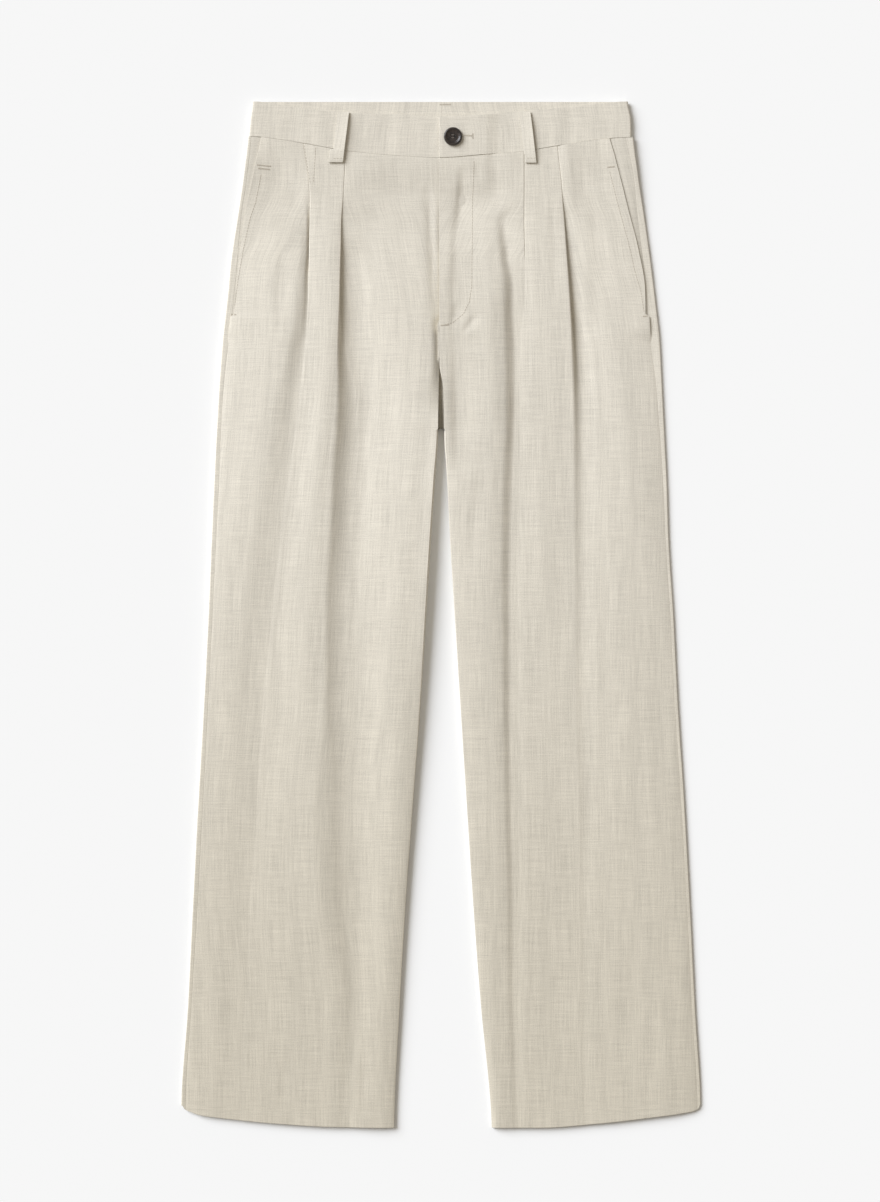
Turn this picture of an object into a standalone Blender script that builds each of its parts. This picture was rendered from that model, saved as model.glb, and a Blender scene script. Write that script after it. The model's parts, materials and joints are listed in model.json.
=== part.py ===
"""Pleated trousers laid flat with the front up, each panel a wall of cloth on its own folds.

Metres, +Z up. The waist points to +Y and the wearer's right leg to -X. The tables hold
millimetres, turned into metres where a mesh is made. On each leg, u is the distance outward
from the centre line, so that x = side * u. A section lies across the leg at one height y, and
it gives the middle of the cloth, which the wall then follows on both sides.
"""

import math

import bpy
import numpy as np

MM = 0.001

# Thickness of the pieces, and the gap kept between pieces and between layers
CLOTH = 1.2
BAND = 2.0
LOOP = 1.5
GAP = 0.3
LAYER = CLOTH + GAP

# The rolled edges where a leg or the band turns from the back to the front
SIDE_ROLL = 1.7
INSEAM_ROLL = 1.5
ROLL_STEPS = 5
EDGE_FALL = 30.0  # the cloth sinks from a rolled edge to the back panel over this width

# The waist: the belt loops under the back band lift it, and its seams are bulky
LOOP_LIFT = 1.8
LIFT_FULL, LIFT_GONE = 475.0, 400.0
SEAM_BULK = 0.8
BULK_FULL, BULK_GONE = 480.0, 430.0
WAIST_Y = 490.0
WAIST_WARP_GONE = 400.0
HEM_Y = -530.0
HEM_WARP_FROM = -400.0

# The fly: the left front laps over the right one, down to the bar tack
CENTRE_FRONT = -2.4
FLY_TACK_Y = 303.0
FLY_END_Y = 268.0
SHIELD_WIDTH = 38.0
FLY_FALL_FROM, FLY_FALL_TO = 45.0, 62.0
OVERLAP_BULK = 1.6
BACK_CROTCH_Y = 194.0

# The pocket mouths: the front stands clear of the facing, which ends just below the mouth
MOUTH_END_Y = 314.0
FACING_END_Y = 303.0
MOUTH_LIFT = 1.7
MOUTH_FALL = 20.0
FACING_UNDER = 13.0

# Pleats
STITCH_END_Y = 450.0
BEND_STEPS = 4
STRIP_CROWN = 1.0
PUFF = 1.5

FABRIC = (0.64, 0.58, 0.50)
FACING_FABRIC = (0.60, 0.54, 0.46)
HORN = (0.035, 0.022, 0.016)


class Table:
    """Rows of named columns, read at any key by a smooth curve that never overshoots a row."""

    def __init__(self, columns, *rows):
        self.columns = columns.split()
        self.rows = np.array(sorted(rows), float)

    def at(self, column, key):
        keys = self.rows[:, 0]
        values = self.rows[:, self.columns.index(column)]
        slopes = np.diff(values) / np.diff(keys)
        rate = np.zeros(len(keys))
        for i in range(1, len(keys) - 1):
            if slopes[i - 1] * slopes[i] > 0:
                rate[i] = 2 * slopes[i - 1] * slopes[i] / (slopes[i - 1] + slopes[i])
        key = min(max(key, keys[0]), keys[-1])
        i = min(int(np.searchsorted(keys, key, "right")) - 1, len(keys) - 2)
        width = keys[i + 1] - keys[i]
        t = (key - keys[i]) / width
        start = (1 + 2 * t) * (1 - t) ** 2 * values[i] + t * (1 - t) ** 2 * width * rate[i]
        end = t * t * (3 - 2 * t) * values[i + 1] + t * t * (t - 1) * width * rate[i + 1]
        return start + end


# How a pleat opens below its stitching: how far its cloth turns back, how much of it lies
# between the two bends, and the radius of a bend. At 180 degrees it is a closed fold.
OPENING = Table(
    "below turn length radius",
    (0, 180, 13, 0.75),
    (40, 178, 11, 0.80),
    (80, 162, 6.5, 1.0),
    (120, 128, 3.0, 1.2),
    (160, 85, 3.0, 1.6),
    (225, 52, 4.0, 3.0),
    (290, 38, 4.5, 5.0),
    (350, 30, 5.0, 7.0),
    (435, 24, 6.0, 9.0),
    (540, 18, 8.0, 10.0),
    (645, 13, 10.0, 12.0),
    (750, 9, 14.0, 14.0),
    (960, 5, 22.0, 15.0),
)

# Seen from the front, the wearer's right leg is on the left.
RIGHT = {
    "side": -1,
    "outline": Table(
        "y inner pleat_1 pleat_2 seam outer",
        (498, 3.9, 103.7, 144.6, 200.0, 202.9),
        (456, 3.9, 103.7, 138.4, 204.3, 207.6),
        (414, 3.9, 105.8, 139.6, 211.3, 215.0),
        (372, 3.9, 106.8, 140.4, 214.8, 221.3),
        (330, 3.9, 108.9, 139.4, 218.9, 225.5),
        (288, 3.9, 111.0, 140.4, 223.6, 230.2),
        (246, 3.9, 114.5, 143.2, 228.4, 233.4),
        (194, 3.9, 117.9, 146.7, 231.9, 236.5),
        (141, 7.1, 120.8, 152.0, 233.9, 239.1),
        (78, 11.3, 125.0, 160.1, 237.0, 241.8),
        (-6, 16.5, 129.1, 169.0, 241.2, 245.4),
        (-90, 21.8, 129.9, 182.4, 245.4, 249.6),
        (-195, 29.7, 132.0, 188.7, 251.0, 255.7),
        (-300, 37.5, 129.9, 195.0, 256.5, 261.2),
        (-405, 43.8, 127.8, 201.3, 263.0, 266.4),
        (-539, 50.1, 117.3, 207.6, 269.6, 273.8),
    ),
    # The inner edge of the front: under the left front at the fly, then clear of the crotch
    "front_edge": Table("y u", (500, -2.0), (318, -2.0), (303, 2.8), (262, 2.8), (236, 3.4), (200, 3.9)),
    "mouth": Table("y u", (498, 189), (456, 197.6), (414, 207.6), (372, 212.6), (330, 216.6), (314, 218)),
    "waist": Table("u y", (0, 479.7), (44, 481.6), (100, 486.9), (145, 494.8), (168, 498.5), (201, 502)),
    "band_top": Table("u y", (0, 522.4), (44, 525.0), (96, 526.6), (149, 531.8), (197, 538.6)),
    "hem": Table("u y", (55, -539), (119, -538), (182, -534), (233, -528.7), (258, -525.5), (272, -519.2)),
    # How fast each pleat opens against the table above
    "haste": (1.0, 1.35),
    "band_outer": (202.4, 201.0, 198.6),
}
LEFT = {
    "side": 1,
    "outline": Table(
        "y inner pleat_1 pleat_2 seam outer",
        (498, 2.4, 87.4, 120.8, 193.0, 201.0),
        (456, 2.4, 87.8, 124.6, 201.7, 206.1),
        (414, 2.4, 89.1, 127.2, 206.7, 213.4),
        (372, 2.4, 90.4, 131.0, 211.9, 219.4),
        (330, 2.4, 91.6, 133.2, 215.9, 224.5),
        (288, 2.4, 92.7, 133.6, 219.2, 229.1),
        (246, 2.4, 94.8, 132.2, 225.0, 231.3),
        (194, 2.4, 97.4, 131.5, 229.2, 233.9),
        (141, 5.5, 102.1, 134.0, 232.8, 236.5),
        (78, 8.7, 111.3, 141.5, 235.6, 238.6),
        (-6, 13.9, 121.6, 151.5, 240.9, 243.9),
        (-90, 19.2, 128.4, 159.9, 245.1, 248.1),
        (-195, 26.0, 134.7, 166.2, 251.9, 254.9),
        (-300, 32.8, 142.0, 172.5, 257.7, 260.7),
        (-405, 40.7, 149.4, 178.8, 262.9, 265.9),
        (-539, 52.8, 157.8, 187.2, 269.2, 272.2),
    ),
    "front_edge": Table("y u", (500, -2.4), (318, -2.4), (262, -2.2), (236, 1.8), (200, 2.4)),
    "mouth": Table("y u", (498, 175.2), (473, 181.4), (432, 193.5), (386, 206), (340, 213.6), (314, 214)),
    "waist": Table("u y", (0, 479.7), (45, 482.9), (82, 485.9), (121, 492.1), (175, 499.8), (199, 501)),
    "band_top": Table("u y", (0, 522.4), (45, 524.5), (78, 527.6), (135, 532.9), (195, 538.6)),
    "hem": Table("u y", (54, -539), (103, -539), (166, -534.5), (217, -528.7), (254, -523.4), (271, -516)),
    "haste": (2.0, 0.85),
    "band_outer": (199.3, 199.0, 195.6),
}

# The heights of the sections, shared by all panels so that their seams run alike
STATIONS = (
    *(490, 472, 450, 428, 406, 384, 362, 340, 318, 303, 285, 262, 236, 204, 188),
    *(150, 100, 40, -40, -140, -250, -370, -460, -530),
)


def fall(value, start, end):
    """1 up to start and 0 past end, eased between them; start may lie on either side of end."""
    t = min(max((value - start) / (end - start), 0.0), 1.0)
    return 1 - t * t * (3 - 2 * t)


def back_height(y):
    """The middle of the back panel's cloth over the floor."""
    return CLOTH / 2 + LOOP_LIFT * fall(y, LIFT_FULL, LIFT_GONE)


def lying_height(y):
    """The middle of a layer that lies on the back panel."""
    return back_height(y) + LAYER + SEAM_BULK * fall(y, BULK_FULL, BULK_GONE)


def inseam_weight(y):
    """0 above the back crotch, where nothing rolls at the centre, and 1 below it."""
    return 1.0 if y < BACK_CROTCH_Y else 0.0


def side_centre(leg, y):
    """The centre line of the roll at the side."""
    return leg["outline"].at("outer", y) - CLOTH / 2 - SIDE_ROLL


def side_seam(leg, y):
    """Where the front and the back meet on top, a little inside the roll at the side."""
    return min(leg["outline"].at("seam", y), side_centre(leg, y) - GAP)


def inseam_start(leg, y):
    """Where the back's cloth leaves the floor for the inseam, or starts its last flat stretch."""
    flat = GAP / 2 + math.pi * INSEAM_ROLL
    rolled = leg["outline"].at("inner", y) + CLOTH / 2 + INSEAM_ROLL
    return rolled if inseam_weight(y) else flat


def base_height(leg, u, y):
    """The middle of the front's cloth without pleats: on the back, and up to each rolled edge."""
    low = lying_height(y)
    side = back_height(y) + 2 * SIDE_ROLL - low
    inseam = (back_height(y) + 2 * INSEAM_ROLL - low) * inseam_weight(y)
    near_side = fall(side_seam(leg, y) - u, 0, EDGE_FALL)
    near_inseam = fall(u - inseam_start(leg, y), 0, EDGE_FALL)
    return low + side * near_side + inseam * near_inseam


def fly_lift(leg, u, y):
    """How far the left front stands over the shield, and over the right band at the waist."""
    if leg is RIGHT:
        return 0.0
    over_shield = LAYER * fall(y, FLY_TACK_Y - 5, FLY_END_Y)
    over_band = OVERLAP_BULK * fall(y, BULK_FULL, BULK_GONE)
    return (over_shield + over_band) * fall(u, FLY_FALL_FROM, FLY_FALL_TO)


def mouth_lift(leg, u, y):
    """How far the front stands over the pocket facing."""
    if y < FACING_END_Y:
        return 0.0
    return MOUTH_LIFT * fall(leg["mouth"].at("u", y) - u, FACING_UNDER, FACING_UNDER + MOUTH_FALL)


def front_outer_edge(leg, y):
    """The pocket mouth, and below it the side seam."""
    if y > MOUTH_END_Y:
        return leg["mouth"].at("u", y)
    return side_seam(leg, y) - GAP


def front_inner_edge(leg, y):
    """The centre front or the crotch edge, and below them the inseam."""
    if inseam_weight(y):
        return inseam_start(leg, y) + GAP
    return leg["front_edge"].at("u", y)


def pleat_bend(leg, number, y):
    """Points (across, up) from the low side of a pleat to its high side, as two bends."""
    below = max(STITCH_END_Y - y, 0) * leg["haste"][number]
    turn = math.radians(OPENING.at("turn", below))
    length = OPENING.at("length", below)
    radius = OPENING.at("radius", below)
    angles = np.linspace(0, turn, BEND_STEPS + 1)
    first = [(radius * math.sin(a), radius * (1 - math.cos(a))) for a in angles]
    centre_across = 2 * radius * math.sin(turn) + length * math.cos(turn)
    centre_up = 2 * radius * (1 - math.cos(turn)) + length * math.sin(turn)
    second = [(centre_across - across, centre_up - up) for across, up in reversed(first)]
    return first + second


def spread(start, end, count):
    """Evenly spaced values between two ends, without the last one."""
    return np.linspace(start, end, count, endpoint=False)


def front_section(leg, y):
    """(u, z) across the front: the centre, the strip that the two pleats raise, and the side."""
    inner, outer = front_inner_edge(leg, y), front_outer_edge(leg, y)
    top_1, top_2 = leg["outline"].at("pleat_1", y), leg["outline"].at("pleat_2", y)
    bend_1, bend_2 = pleat_bend(leg, 0, y), pleat_bend(leg, 1, y)
    foot_1 = top_1 - bend_1[-1][0]
    foot_2 = top_2 + bend_2[-1][0]
    opened = 1 - fall(STITCH_END_Y - y, 40, 200)

    def height(u, start, end):
        t = min(max((u - start) / (end - start), 0), 1)
        puff = PUFF * opened * math.sin(math.pi * t) ** 2
        return base_height(leg, u, y) + fly_lift(leg, u, y) + mouth_lift(leg, u, y) + puff

    low_1 = height(foot_1, inner, foot_1)
    low_2 = height(foot_2, foot_2, outer)
    high_1 = low_1 + bend_1[-1][1]
    high_2 = low_2 + bend_2[-1][1]
    points = [(u, height(u, inner, foot_1)) for u in spread(inner, foot_1, 8)]
    points += [(foot_1 + across, low_1 + up) for across, up in bend_1]
    for t in (0.25, 0.5, 0.75):
        crown = STRIP_CROWN * opened * math.sin(math.pi * t)
        points.append((top_1 + (top_2 - top_1) * t, high_1 + (high_2 - high_1) * t + crown))
    points += [(foot_2 - across, low_2 + up) for across, up in reversed(bend_2)]
    points += [(u, height(u, foot_2, outer)) for u in spread(outer, foot_2, 7)[::-1]]
    return points


def back_section(leg, y):
    """(u, z) round the back: from the side seam on top, round the side, the floor and the inseam."""
    floor = back_height(y)
    centre = side_centre(leg, y)
    points = [(side_seam(leg, y), floor + 2 * SIDE_ROLL)]
    for angle in np.linspace(0, math.pi, ROLL_STEPS + 1):
        rise = SIDE_ROLL * (1 + math.cos(angle))
        points.append((centre + SIDE_ROLL * math.sin(angle), floor + rise))
    start = inseam_start(leg, y)
    points += [(u, floor) for u in spread(centre, start, 4)[1:]]
    rolled = inseam_weight(y)
    for t in np.linspace(0, 1, ROLL_STEPS + 1):
        angle = math.pi * t
        flat = (start - angle * INSEAM_ROLL, floor)
        turned = (start - INSEAM_ROLL * math.sin(angle), floor + INSEAM_ROLL * (1 - math.cos(angle)))
        points.append(turned if rolled else flat)
    return points


def warped(leg, u, y, waist_y):
    """y once the top follows the waist seam and the bottom follows the hem."""
    waist = (waist_y - GAP / 2 - WAIST_Y) * fall(y, WAIST_Y, WAIST_WARP_GONE)
    hem = (leg["hem"].at("y", u) - HEM_Y) * (1 - fall(y, HEM_WARP_FROM, HEM_Y))
    return y + waist + hem


def edge_line(leg, name, u):
    """The height of a named edge; past the centre line it is the other half's."""
    half = leg if u >= 0 else LEFT
    return half[name].at("y", abs(u))


def front_waist(leg, u):
    return edge_line(leg, "waist", u)


def back_waist(leg, u):
    """The back's waist seam, which is straighter and higher than the front's."""
    side = leg["waist"].at("y", 250)
    return side - 3.0 * fall(u, 0, 190)


def panel(leg, section, waist):
    """The grid of points of a panel, a row for each station."""
    grid = []
    for y in STATIONS:
        points = section(leg, y)
        grid.append([(leg["side"] * u, warped(leg, u, y, waist(leg, u)), z) for u, z in points])
    return grid


def facing_grid(leg):
    """The pocket facing, from under the front to the side seam."""
    grid = []
    for y in [y for y in STATIONS if y >= FACING_END_Y]:
        seam = side_seam(leg, y) - GAP
        under = leg["mouth"].at("u", y) - FACING_UNDER
        row = []
        for u in np.linspace(under, seam, 6):
            row.append((leg["side"] * u, warped(leg, u, y, front_waist(leg, u)), base_height(leg, u, y)))
        grid.append(row)
    return grid


def shield_grid():
    """The fly shield, sewn to the edge of the right front and lying under the left front."""
    grid = []
    for y in [y for y in STATIONS if y > FLY_TACK_Y]:
        row = []
        for x in np.linspace(2.0 + GAP, SHIELD_WIDTH, 4):
            row.append((x, warped(LEFT, x, y, front_waist(LEFT, x)), lying_height(y)))
        grid.append(row)
    return grid


def band_height(leg, u):
    """The middle of the front band: over the pleats' bulk, and over the other half at the centre."""
    outline = leg["outline"]
    inner, outer = outline.at("pleat_1", WAIST_Y), outline.at("pleat_2", WAIST_Y)
    bulk = fall(abs(u - (inner + outer) / 2), (outer - inner) / 2, (outer - inner) / 2 + 18)
    lap = 0.0 if leg is RIGHT else fall(u, FLY_FALL_FROM, FLY_FALL_TO)
    return LOOP_LIFT + BAND / 2 + 2 * SIDE_ROLL + SEAM_BULK * bulk + (BAND + GAP) * lap


def band_grid(leg):
    """Half of the waistband, from the centre back, round the side, to its front end."""
    floor = LOOP_LIFT + BAND / 2
    end = CENTRE_FRONT if leg is LEFT else -SHIELD_WIDTH
    path = [("back", t) for t in spread(0, 1, 5)]
    path += [("turn", t) for t in np.linspace(0, 1, ROLL_STEPS + 1)]
    path += [("front", t) for t in np.linspace(0, 1, 21)[1:]]
    grid = []
    for row, outer in enumerate(leg["band_outer"]):
        centre = outer - BAND / 2 - SIDE_ROLL
        share = row / 2
        points = []
        for stretch, t in path:
            if stretch == "back":
                u, z = GAP / 2 + (centre - GAP / 2) * t, floor
                low, high = back_waist(leg, u), leg["band_top"].at("y", 250)
            elif stretch == "turn":
                u = centre + SIDE_ROLL * math.sin(math.pi * t)
                z = floor + SIDE_ROLL * (1 - math.cos(math.pi * t))
                low, high = leg["waist"].at("y", 250), leg["band_top"].at("y", 250)
            else:
                u = centre + (end - centre) * t
                z = band_height(leg, u)
                low, high = front_waist(leg, u), edge_line(leg, "band_top", u)
            points.append((leg["side"] * u, low + GAP / 2 + (high - low - GAP / 2) * share, z))
        grid.append(points)
    return grid


def loop_grid(top, bottom, low, rise):
    """A belt loop from its top end to its bottom end, (x, y) each, bowed up over the band."""
    width = 11.6
    grid = []
    for t in np.linspace(0, 1, 7):
        x = top[0] + (bottom[0] - top[0]) * t
        y = top[1] + (bottom[1] - top[1]) * t
        z = low + LOOP / 2 + rise * math.sin(math.pi * t)
        grid.append([(x - width / 2, y, z), (x + width / 2, y, z)])
    return grid


def directions(grid, axis):
    """At each point, the direction halfway between the stretches before and after it."""
    steps = np.diff(grid, axis=axis)
    steps = steps / np.linalg.norm(steps, axis=2, keepdims=True)
    steps = np.moveaxis(steps, axis, 0)
    total = np.concatenate([steps[:1], steps[:-1] + steps[1:], steps[-1:]])
    return np.moveaxis(total, 0, axis)


def material(name, colour, roughness):
    made = bpy.data.materials.new(name)
    made.use_nodes = True
    shader = made.node_tree.nodes["Principled BSDF"]
    shader.inputs["Base Color"].default_value = (*colour, 1)
    shader.inputs["Roughness"].default_value = roughness
    shader.inputs["Metallic"].default_value = 0.0
    return made


def add_mesh(name, points, faces, colour, roughness=0.9):
    """One object of millimetre points, with its own material."""
    mesh = bpy.data.meshes.new(name)
    mesh.from_pydata([tuple(MM * value for value in point) for point in points], [], faces)
    mesh.materials.append(material(name, colour, roughness))
    made = bpy.data.objects.new(name, mesh)
    bpy.context.scene.collection.objects.link(made)
    return made


def wall(name, grid, thickness, colour=FABRIC):
    """A closed wall of even thickness whose middle is the grid."""
    grid = np.array(grid, float)
    rows, columns = grid.shape[:2]
    normal = np.cross(directions(grid, 0), directions(grid, 1))
    normal *= thickness / 2 / np.linalg.norm(normal, axis=2, keepdims=True)
    points = np.concatenate([(grid + normal).reshape(-1, 3), (grid - normal).reshape(-1, 3)])
    far = rows * columns

    def index(row, column):
        return row * columns + column

    faces = []
    for row in range(rows - 1):
        for column in range(columns - 1):
            a, b = index(row, column), index(row, column + 1)
            c, d = index(row + 1, column + 1), index(row + 1, column)
            faces += [(a, d, c), (a, c, b)]
            faces += [(far + a, far + c, far + d), (far + a, far + b, far + c)]
    rim = [index(0, column) for column in range(columns)]
    rim += [index(row, columns - 1) for row in range(1, rows)]
    rim += [index(rows - 1, column) for column in range(columns - 2, -1, -1)]
    rim += [index(row, 0) for row in range(rows - 2, 0, -1)]
    for a, b in zip(rim, rim[1:] + rim[:1]):
        faces += [(a, b, far + b), (a, far + b, far + a)]
    made = add_mesh(name, points, faces, colour)
    face_outward(made)
    return made


def face_outward(made):
    """Turns the faces of a closed mesh round if they point in."""
    mesh = made.data
    volume = 0.0
    for face in mesh.polygons:
        a, b, c = (mesh.vertices[i].co for i in face.vertices[:3])
        volume += a.dot(b.cross(c))
    if volume < 0:
        mesh.flip_normals()


# The button, seen from above: a turned rim round a dished middle with four holes
BUTTON_AT = (11.8, 501.4)
BUTTON_RADIUS = 9.65
BUTTON_SIDES = 32
HOLE_OUT = 2.1
HOLE_RADIUS = 0.95
HOLE_SIDES = 8
BUTTON_PROFILE = (
    (8.6, 0.0),
    (BUTTON_RADIUS, 0.9),
    (BUTTON_RADIUS, 2.3),
    (8.9, 3.1),
    (8.0, 3.1),
    (6.9, 2.4),
)


def ring(radius, z, sides):
    """Points round a circle about the origin."""
    angles = [2 * math.pi * i / sides for i in range(sides)]
    return [(radius * math.cos(a), radius * math.sin(a), z) for a in angles]


def turned_body(name, rings, sides):
    """A closed body turned about Z from (radius, z) pairs, bottom to top."""
    points = []
    for radius, z in rings:
        points += ring(radius, z, sides)
    faces = [tuple(range(sides - 1, -1, -1))]
    for level in range(len(rings) - 1):
        low = level * sides
        for i in range(sides):
            j = (i + 1) % sides
            faces.append((low + i, low + j, low + sides + j, low + sides + i))
    faces.append(tuple(range((len(rings) - 1) * sides, len(rings) * sides)))
    return add_mesh(name, points, faces, HORN, 0.35)


def button(base_z):
    body = turned_body("button", BUTTON_PROFILE, BUTTON_SIDES)
    for i in range(4):
        angle = math.pi / 4 + i * math.pi / 2
        cutter = turned_body(f"button_hole_{i}", ((HOLE_RADIUS, -1), (HOLE_RADIUS, 5)), HOLE_SIDES)
        cutter.location = (MM * HOLE_OUT * math.cos(angle), MM * HOLE_OUT * math.sin(angle), 0)
        cutter.parent = body
        cutter.hide_render = True
        cutter.display_type = "WIRE"
        cut = body.modifiers.new(f"hole_{i}", "BOOLEAN")
        cut.object = cutter
    body.location = (MM * BUTTON_AT[0], MM * BUTTON_AT[1], MM * base_z)


def build():
    for existing in list(bpy.data.objects):
        bpy.data.objects.remove(existing)
    for word, leg in (("right", RIGHT), ("left", LEFT)):
        wall(f"front_{word}", panel(leg, front_section, front_waist), CLOTH)
        wall(f"back_{word}", panel(leg, back_section, back_waist), CLOTH)
        wall(f"waistband_{word}", band_grid(leg), BAND)
        wall(f"pocket_facing_{word}", facing_grid(leg), CLOTH, FACING_FABRIC)
    wall("fly_shield", shield_grid(), CLOTH)
    front_loop_z = 8.75
    wall("loop_front_right", loop_grid((-102.9, 527.0), (-109.5, 474.5), front_loop_z, 0.6), LOOP)
    wall("loop_front_left", loop_grid((87.3, 527.3), (93.6, 474.1), front_loop_z, 0.6), LOOP)
    for word, x in (("right", -128.0), ("centre", 0.0), ("left", 128.0)):
        wall(f"loop_back_{word}", loop_grid((x, 537.0), (x, 486.0), 0.0, 0.0), LOOP)
    button(band_height(LEFT, BUTTON_AT[0]) + BAND / 2 + GAP)


build()
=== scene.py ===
"""The looks of the pleated trousers: fine cloth on the solids' form, its weave, seams and stitches.

The frame is in metres. The cloth is worked out in millimetres, as in the part's source: on each
leg, u is the distance outward from the centre line, so that x = side * u, and a section lies
across the leg at one height y. The photograph is taken from straight above.
"""

import json
import math

import bmesh
import bpy
import numpy as np
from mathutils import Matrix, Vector

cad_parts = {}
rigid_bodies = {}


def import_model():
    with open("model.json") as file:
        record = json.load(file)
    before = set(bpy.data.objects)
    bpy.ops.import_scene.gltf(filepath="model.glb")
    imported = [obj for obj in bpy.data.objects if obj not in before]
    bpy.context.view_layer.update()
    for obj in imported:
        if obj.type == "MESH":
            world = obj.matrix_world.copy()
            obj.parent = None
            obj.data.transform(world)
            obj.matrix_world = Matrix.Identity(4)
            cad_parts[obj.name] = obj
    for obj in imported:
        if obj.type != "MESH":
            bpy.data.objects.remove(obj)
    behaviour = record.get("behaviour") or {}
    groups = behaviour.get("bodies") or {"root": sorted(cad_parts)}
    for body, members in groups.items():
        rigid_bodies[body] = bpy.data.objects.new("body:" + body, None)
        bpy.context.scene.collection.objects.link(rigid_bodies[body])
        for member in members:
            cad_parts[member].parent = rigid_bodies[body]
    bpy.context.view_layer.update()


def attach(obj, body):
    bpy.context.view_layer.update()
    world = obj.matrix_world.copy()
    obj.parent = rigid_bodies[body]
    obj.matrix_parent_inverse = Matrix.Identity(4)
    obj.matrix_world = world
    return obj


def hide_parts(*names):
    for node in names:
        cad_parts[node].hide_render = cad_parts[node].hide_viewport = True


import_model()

MM = 0.001

# The photograph: its size, its scale on the garment, and the pixel where x and y are zero
PHOTO_WIDE, PHOTO_HIGH = 880, 1202
MM_PER_PIXEL = 1.05
ZERO_ACROSS, ZERO_DOWN = 441.75, 614.5

# Thickness of the pieces and the gaps between layers; the cloth is finer than the solids' walls
CLOTH = 0.8
BAND = 1.6
LOOP = 1.0
GAP = 0.3
LAYER = CLOTH + GAP

# Where the panels begin and end, before their ends are bent to the waist seam and the hem
WAIST_Y, WAIST_WARP_GONE = 490.0, 400.0
HEM_Y, HEM_WARP_FROM = -530.0, -400.0
MOUTH_END_Y = 314.0
FACING_END_Y = 303.0
FLY_TACK_Y = 303.0
FLY_END_Y = 268.0
CROTCH_Y = 194.0
# Any u past the side, where the lines of the waist keep their last height
PAST_SIDE = 250.0

# The back's rolled edges are narrower than high, and the loops under it lift it at the waist
ROLL_WIDTH = 0.3
LOOP_LIFT = 1.3
LIFT_FULL, LIFT_GONE = 475.0, 400.0
BACK_DIP, BACK_DIP_WIDE = 3.0, 190.0

# The front comes down from the rolled edges, and up at the waist seam to the band's level
EDGE_FALL = 30.0
WAIST_RISE = 2.1
RISE_FULL, RISE_GONE = 490.0, 445.0
# The left front lies over the fly's underlap, and at the waist over the lapped band's bulk;
# below SHIELD_LEFT_Y it comes down from the underlap
SHIELD_LEFT_Y = 298.0
FLY_FALL_FROM, FLY_FALL_TO = 45.0, 62.0
OVERLAP_BULK = 2.4
BULK_FULL, BULK_GONE = 485.0, 430.0
LIE_SOFT = 0.8
# The right front turns up along the centre; below the fly's tack it reaches a smaller share
LIP_WIDTH, LIP_SUNK, LIP_SINKS = 0.3, 0.65, 8.0
# The underlap, and the cloth behind the pocket mouths
CENTRE_FRONT = -2.4
SHIELD_FROM, SHIELD_WIDTH = 2.0, 38.0
MOUTH_FALL = 20.0
FACING_UNDER = 13.0
# At a seam the front's edge goes under the back's, and the cloth dips beside it
SEAM_TUCK, SEAM_SINK, SEAM_SOFT = 0.8, 0.28, 1.3

# The strip between the pleats bulges from where they open: high up it is rolled over along its
# inner edge, lower down it is an even crown, which fades towards the hem
CROWN_FROM, CROWN_FULL = 445.0, 400.0
EDGE_ROLL = 6.0
SHARP_ABOVE, SOFT_BELOW = 265.0, 180.0
CROWN_SKEW = 0.7
CROWN_FALLS_FROM, CROWN_GONE = 150.0, -400.0

# Beside a pleat: the width of the dip, the part of the reach that its steep share takes, how the
# cloth comes down to its edge, the longest share of it that rises, and where a tuck starts
DIP_WIDTH, DIP_SKEW = 62.0, 0.6
STEEP_PART = 0.4
EDGE_EASE = 1.7
LONGEST_REACH = 0.8
TUCK_FROM, TUCK_FULL, TUCK_LEVEL = 0.1, 1.1, 1.0

# Steps of the bends, and columns of the stretches, which stand closer near and at the fold
BEND_STEPS, FOLD_STEPS, ROLL_STEPS = 10, 4, 12
INNER_COLUMNS, OUTER_COLUMNS = (25, 14, 8, 5), (21, 14, 8, 5)
COLUMN_EASE = (1.0, 1.5, 1.0, 1.0)
FOLD_NEAR, FOLD_AT, FOLD_UNDER, FOLD_BEFORE, FOLD_CLOSED = 26.0, 3.0, 1.2, 0.8, 2.0
STRIP_COLUMNS = 22
WRAP_COLUMNS, FLOOR_COLUMNS = 6, 40
FACING_COLUMNS, SHIELD_COLUMNS = 24, 10
# Rows of the fine cloth: close together down to the crotch, then wider apart
TOP_PITCH, LEG_PITCH = 2.6, 5.0
FINE_ABOVE = 180.0
STATIONS = np.concatenate(
    [
        np.linspace(WAIST_Y, FINE_ABOVE, round((WAIST_Y - FINE_ABOVE) / TOP_PITCH), endpoint=False),
        np.linspace(FINE_ABOVE, HEM_Y, round((FINE_ABOVE - HEM_Y) / LEG_PITCH)),
    ]
)

# The waistband, whose halves meet this far from the centre back, and the belt loops
BAND_ROLL = 1.3
BAND_ROWS, BAND_BACK_COLUMNS, BAND_FRONT_COLUMNS = 18, 60, 120
BAND_BULK, BAND_BULK_FALL = 0.5, 18.0
BACK_SEAM = 0.06
LOOP_WIDTH = 11.6
LOOP_ROWS, LOOP_COLUMNS = 30, 11
LOOP_LOW, LOOP_STAND, LOOP_BOW = 6.5, 1.9, 0.6
TAB_FROM, TAB_STEP = 0.74, 0.002
# Each front loop: its top and bottom, and how much wider its folded end is
FRONT_LOOPS = (
    ("right", (-102.9, 527.0), (-109.5, 474.5), 3.4),
    ("left", (87.3, 527.3), (93.6, 474.1), 0.0),
)
BACK_LOOPS = (("right", -128.0), ("centre", 0.0), ("left", 128.0))
BACK_LOOP_TOP, BACK_LOOP_BOTTOM = 537.0, 486.0


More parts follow.
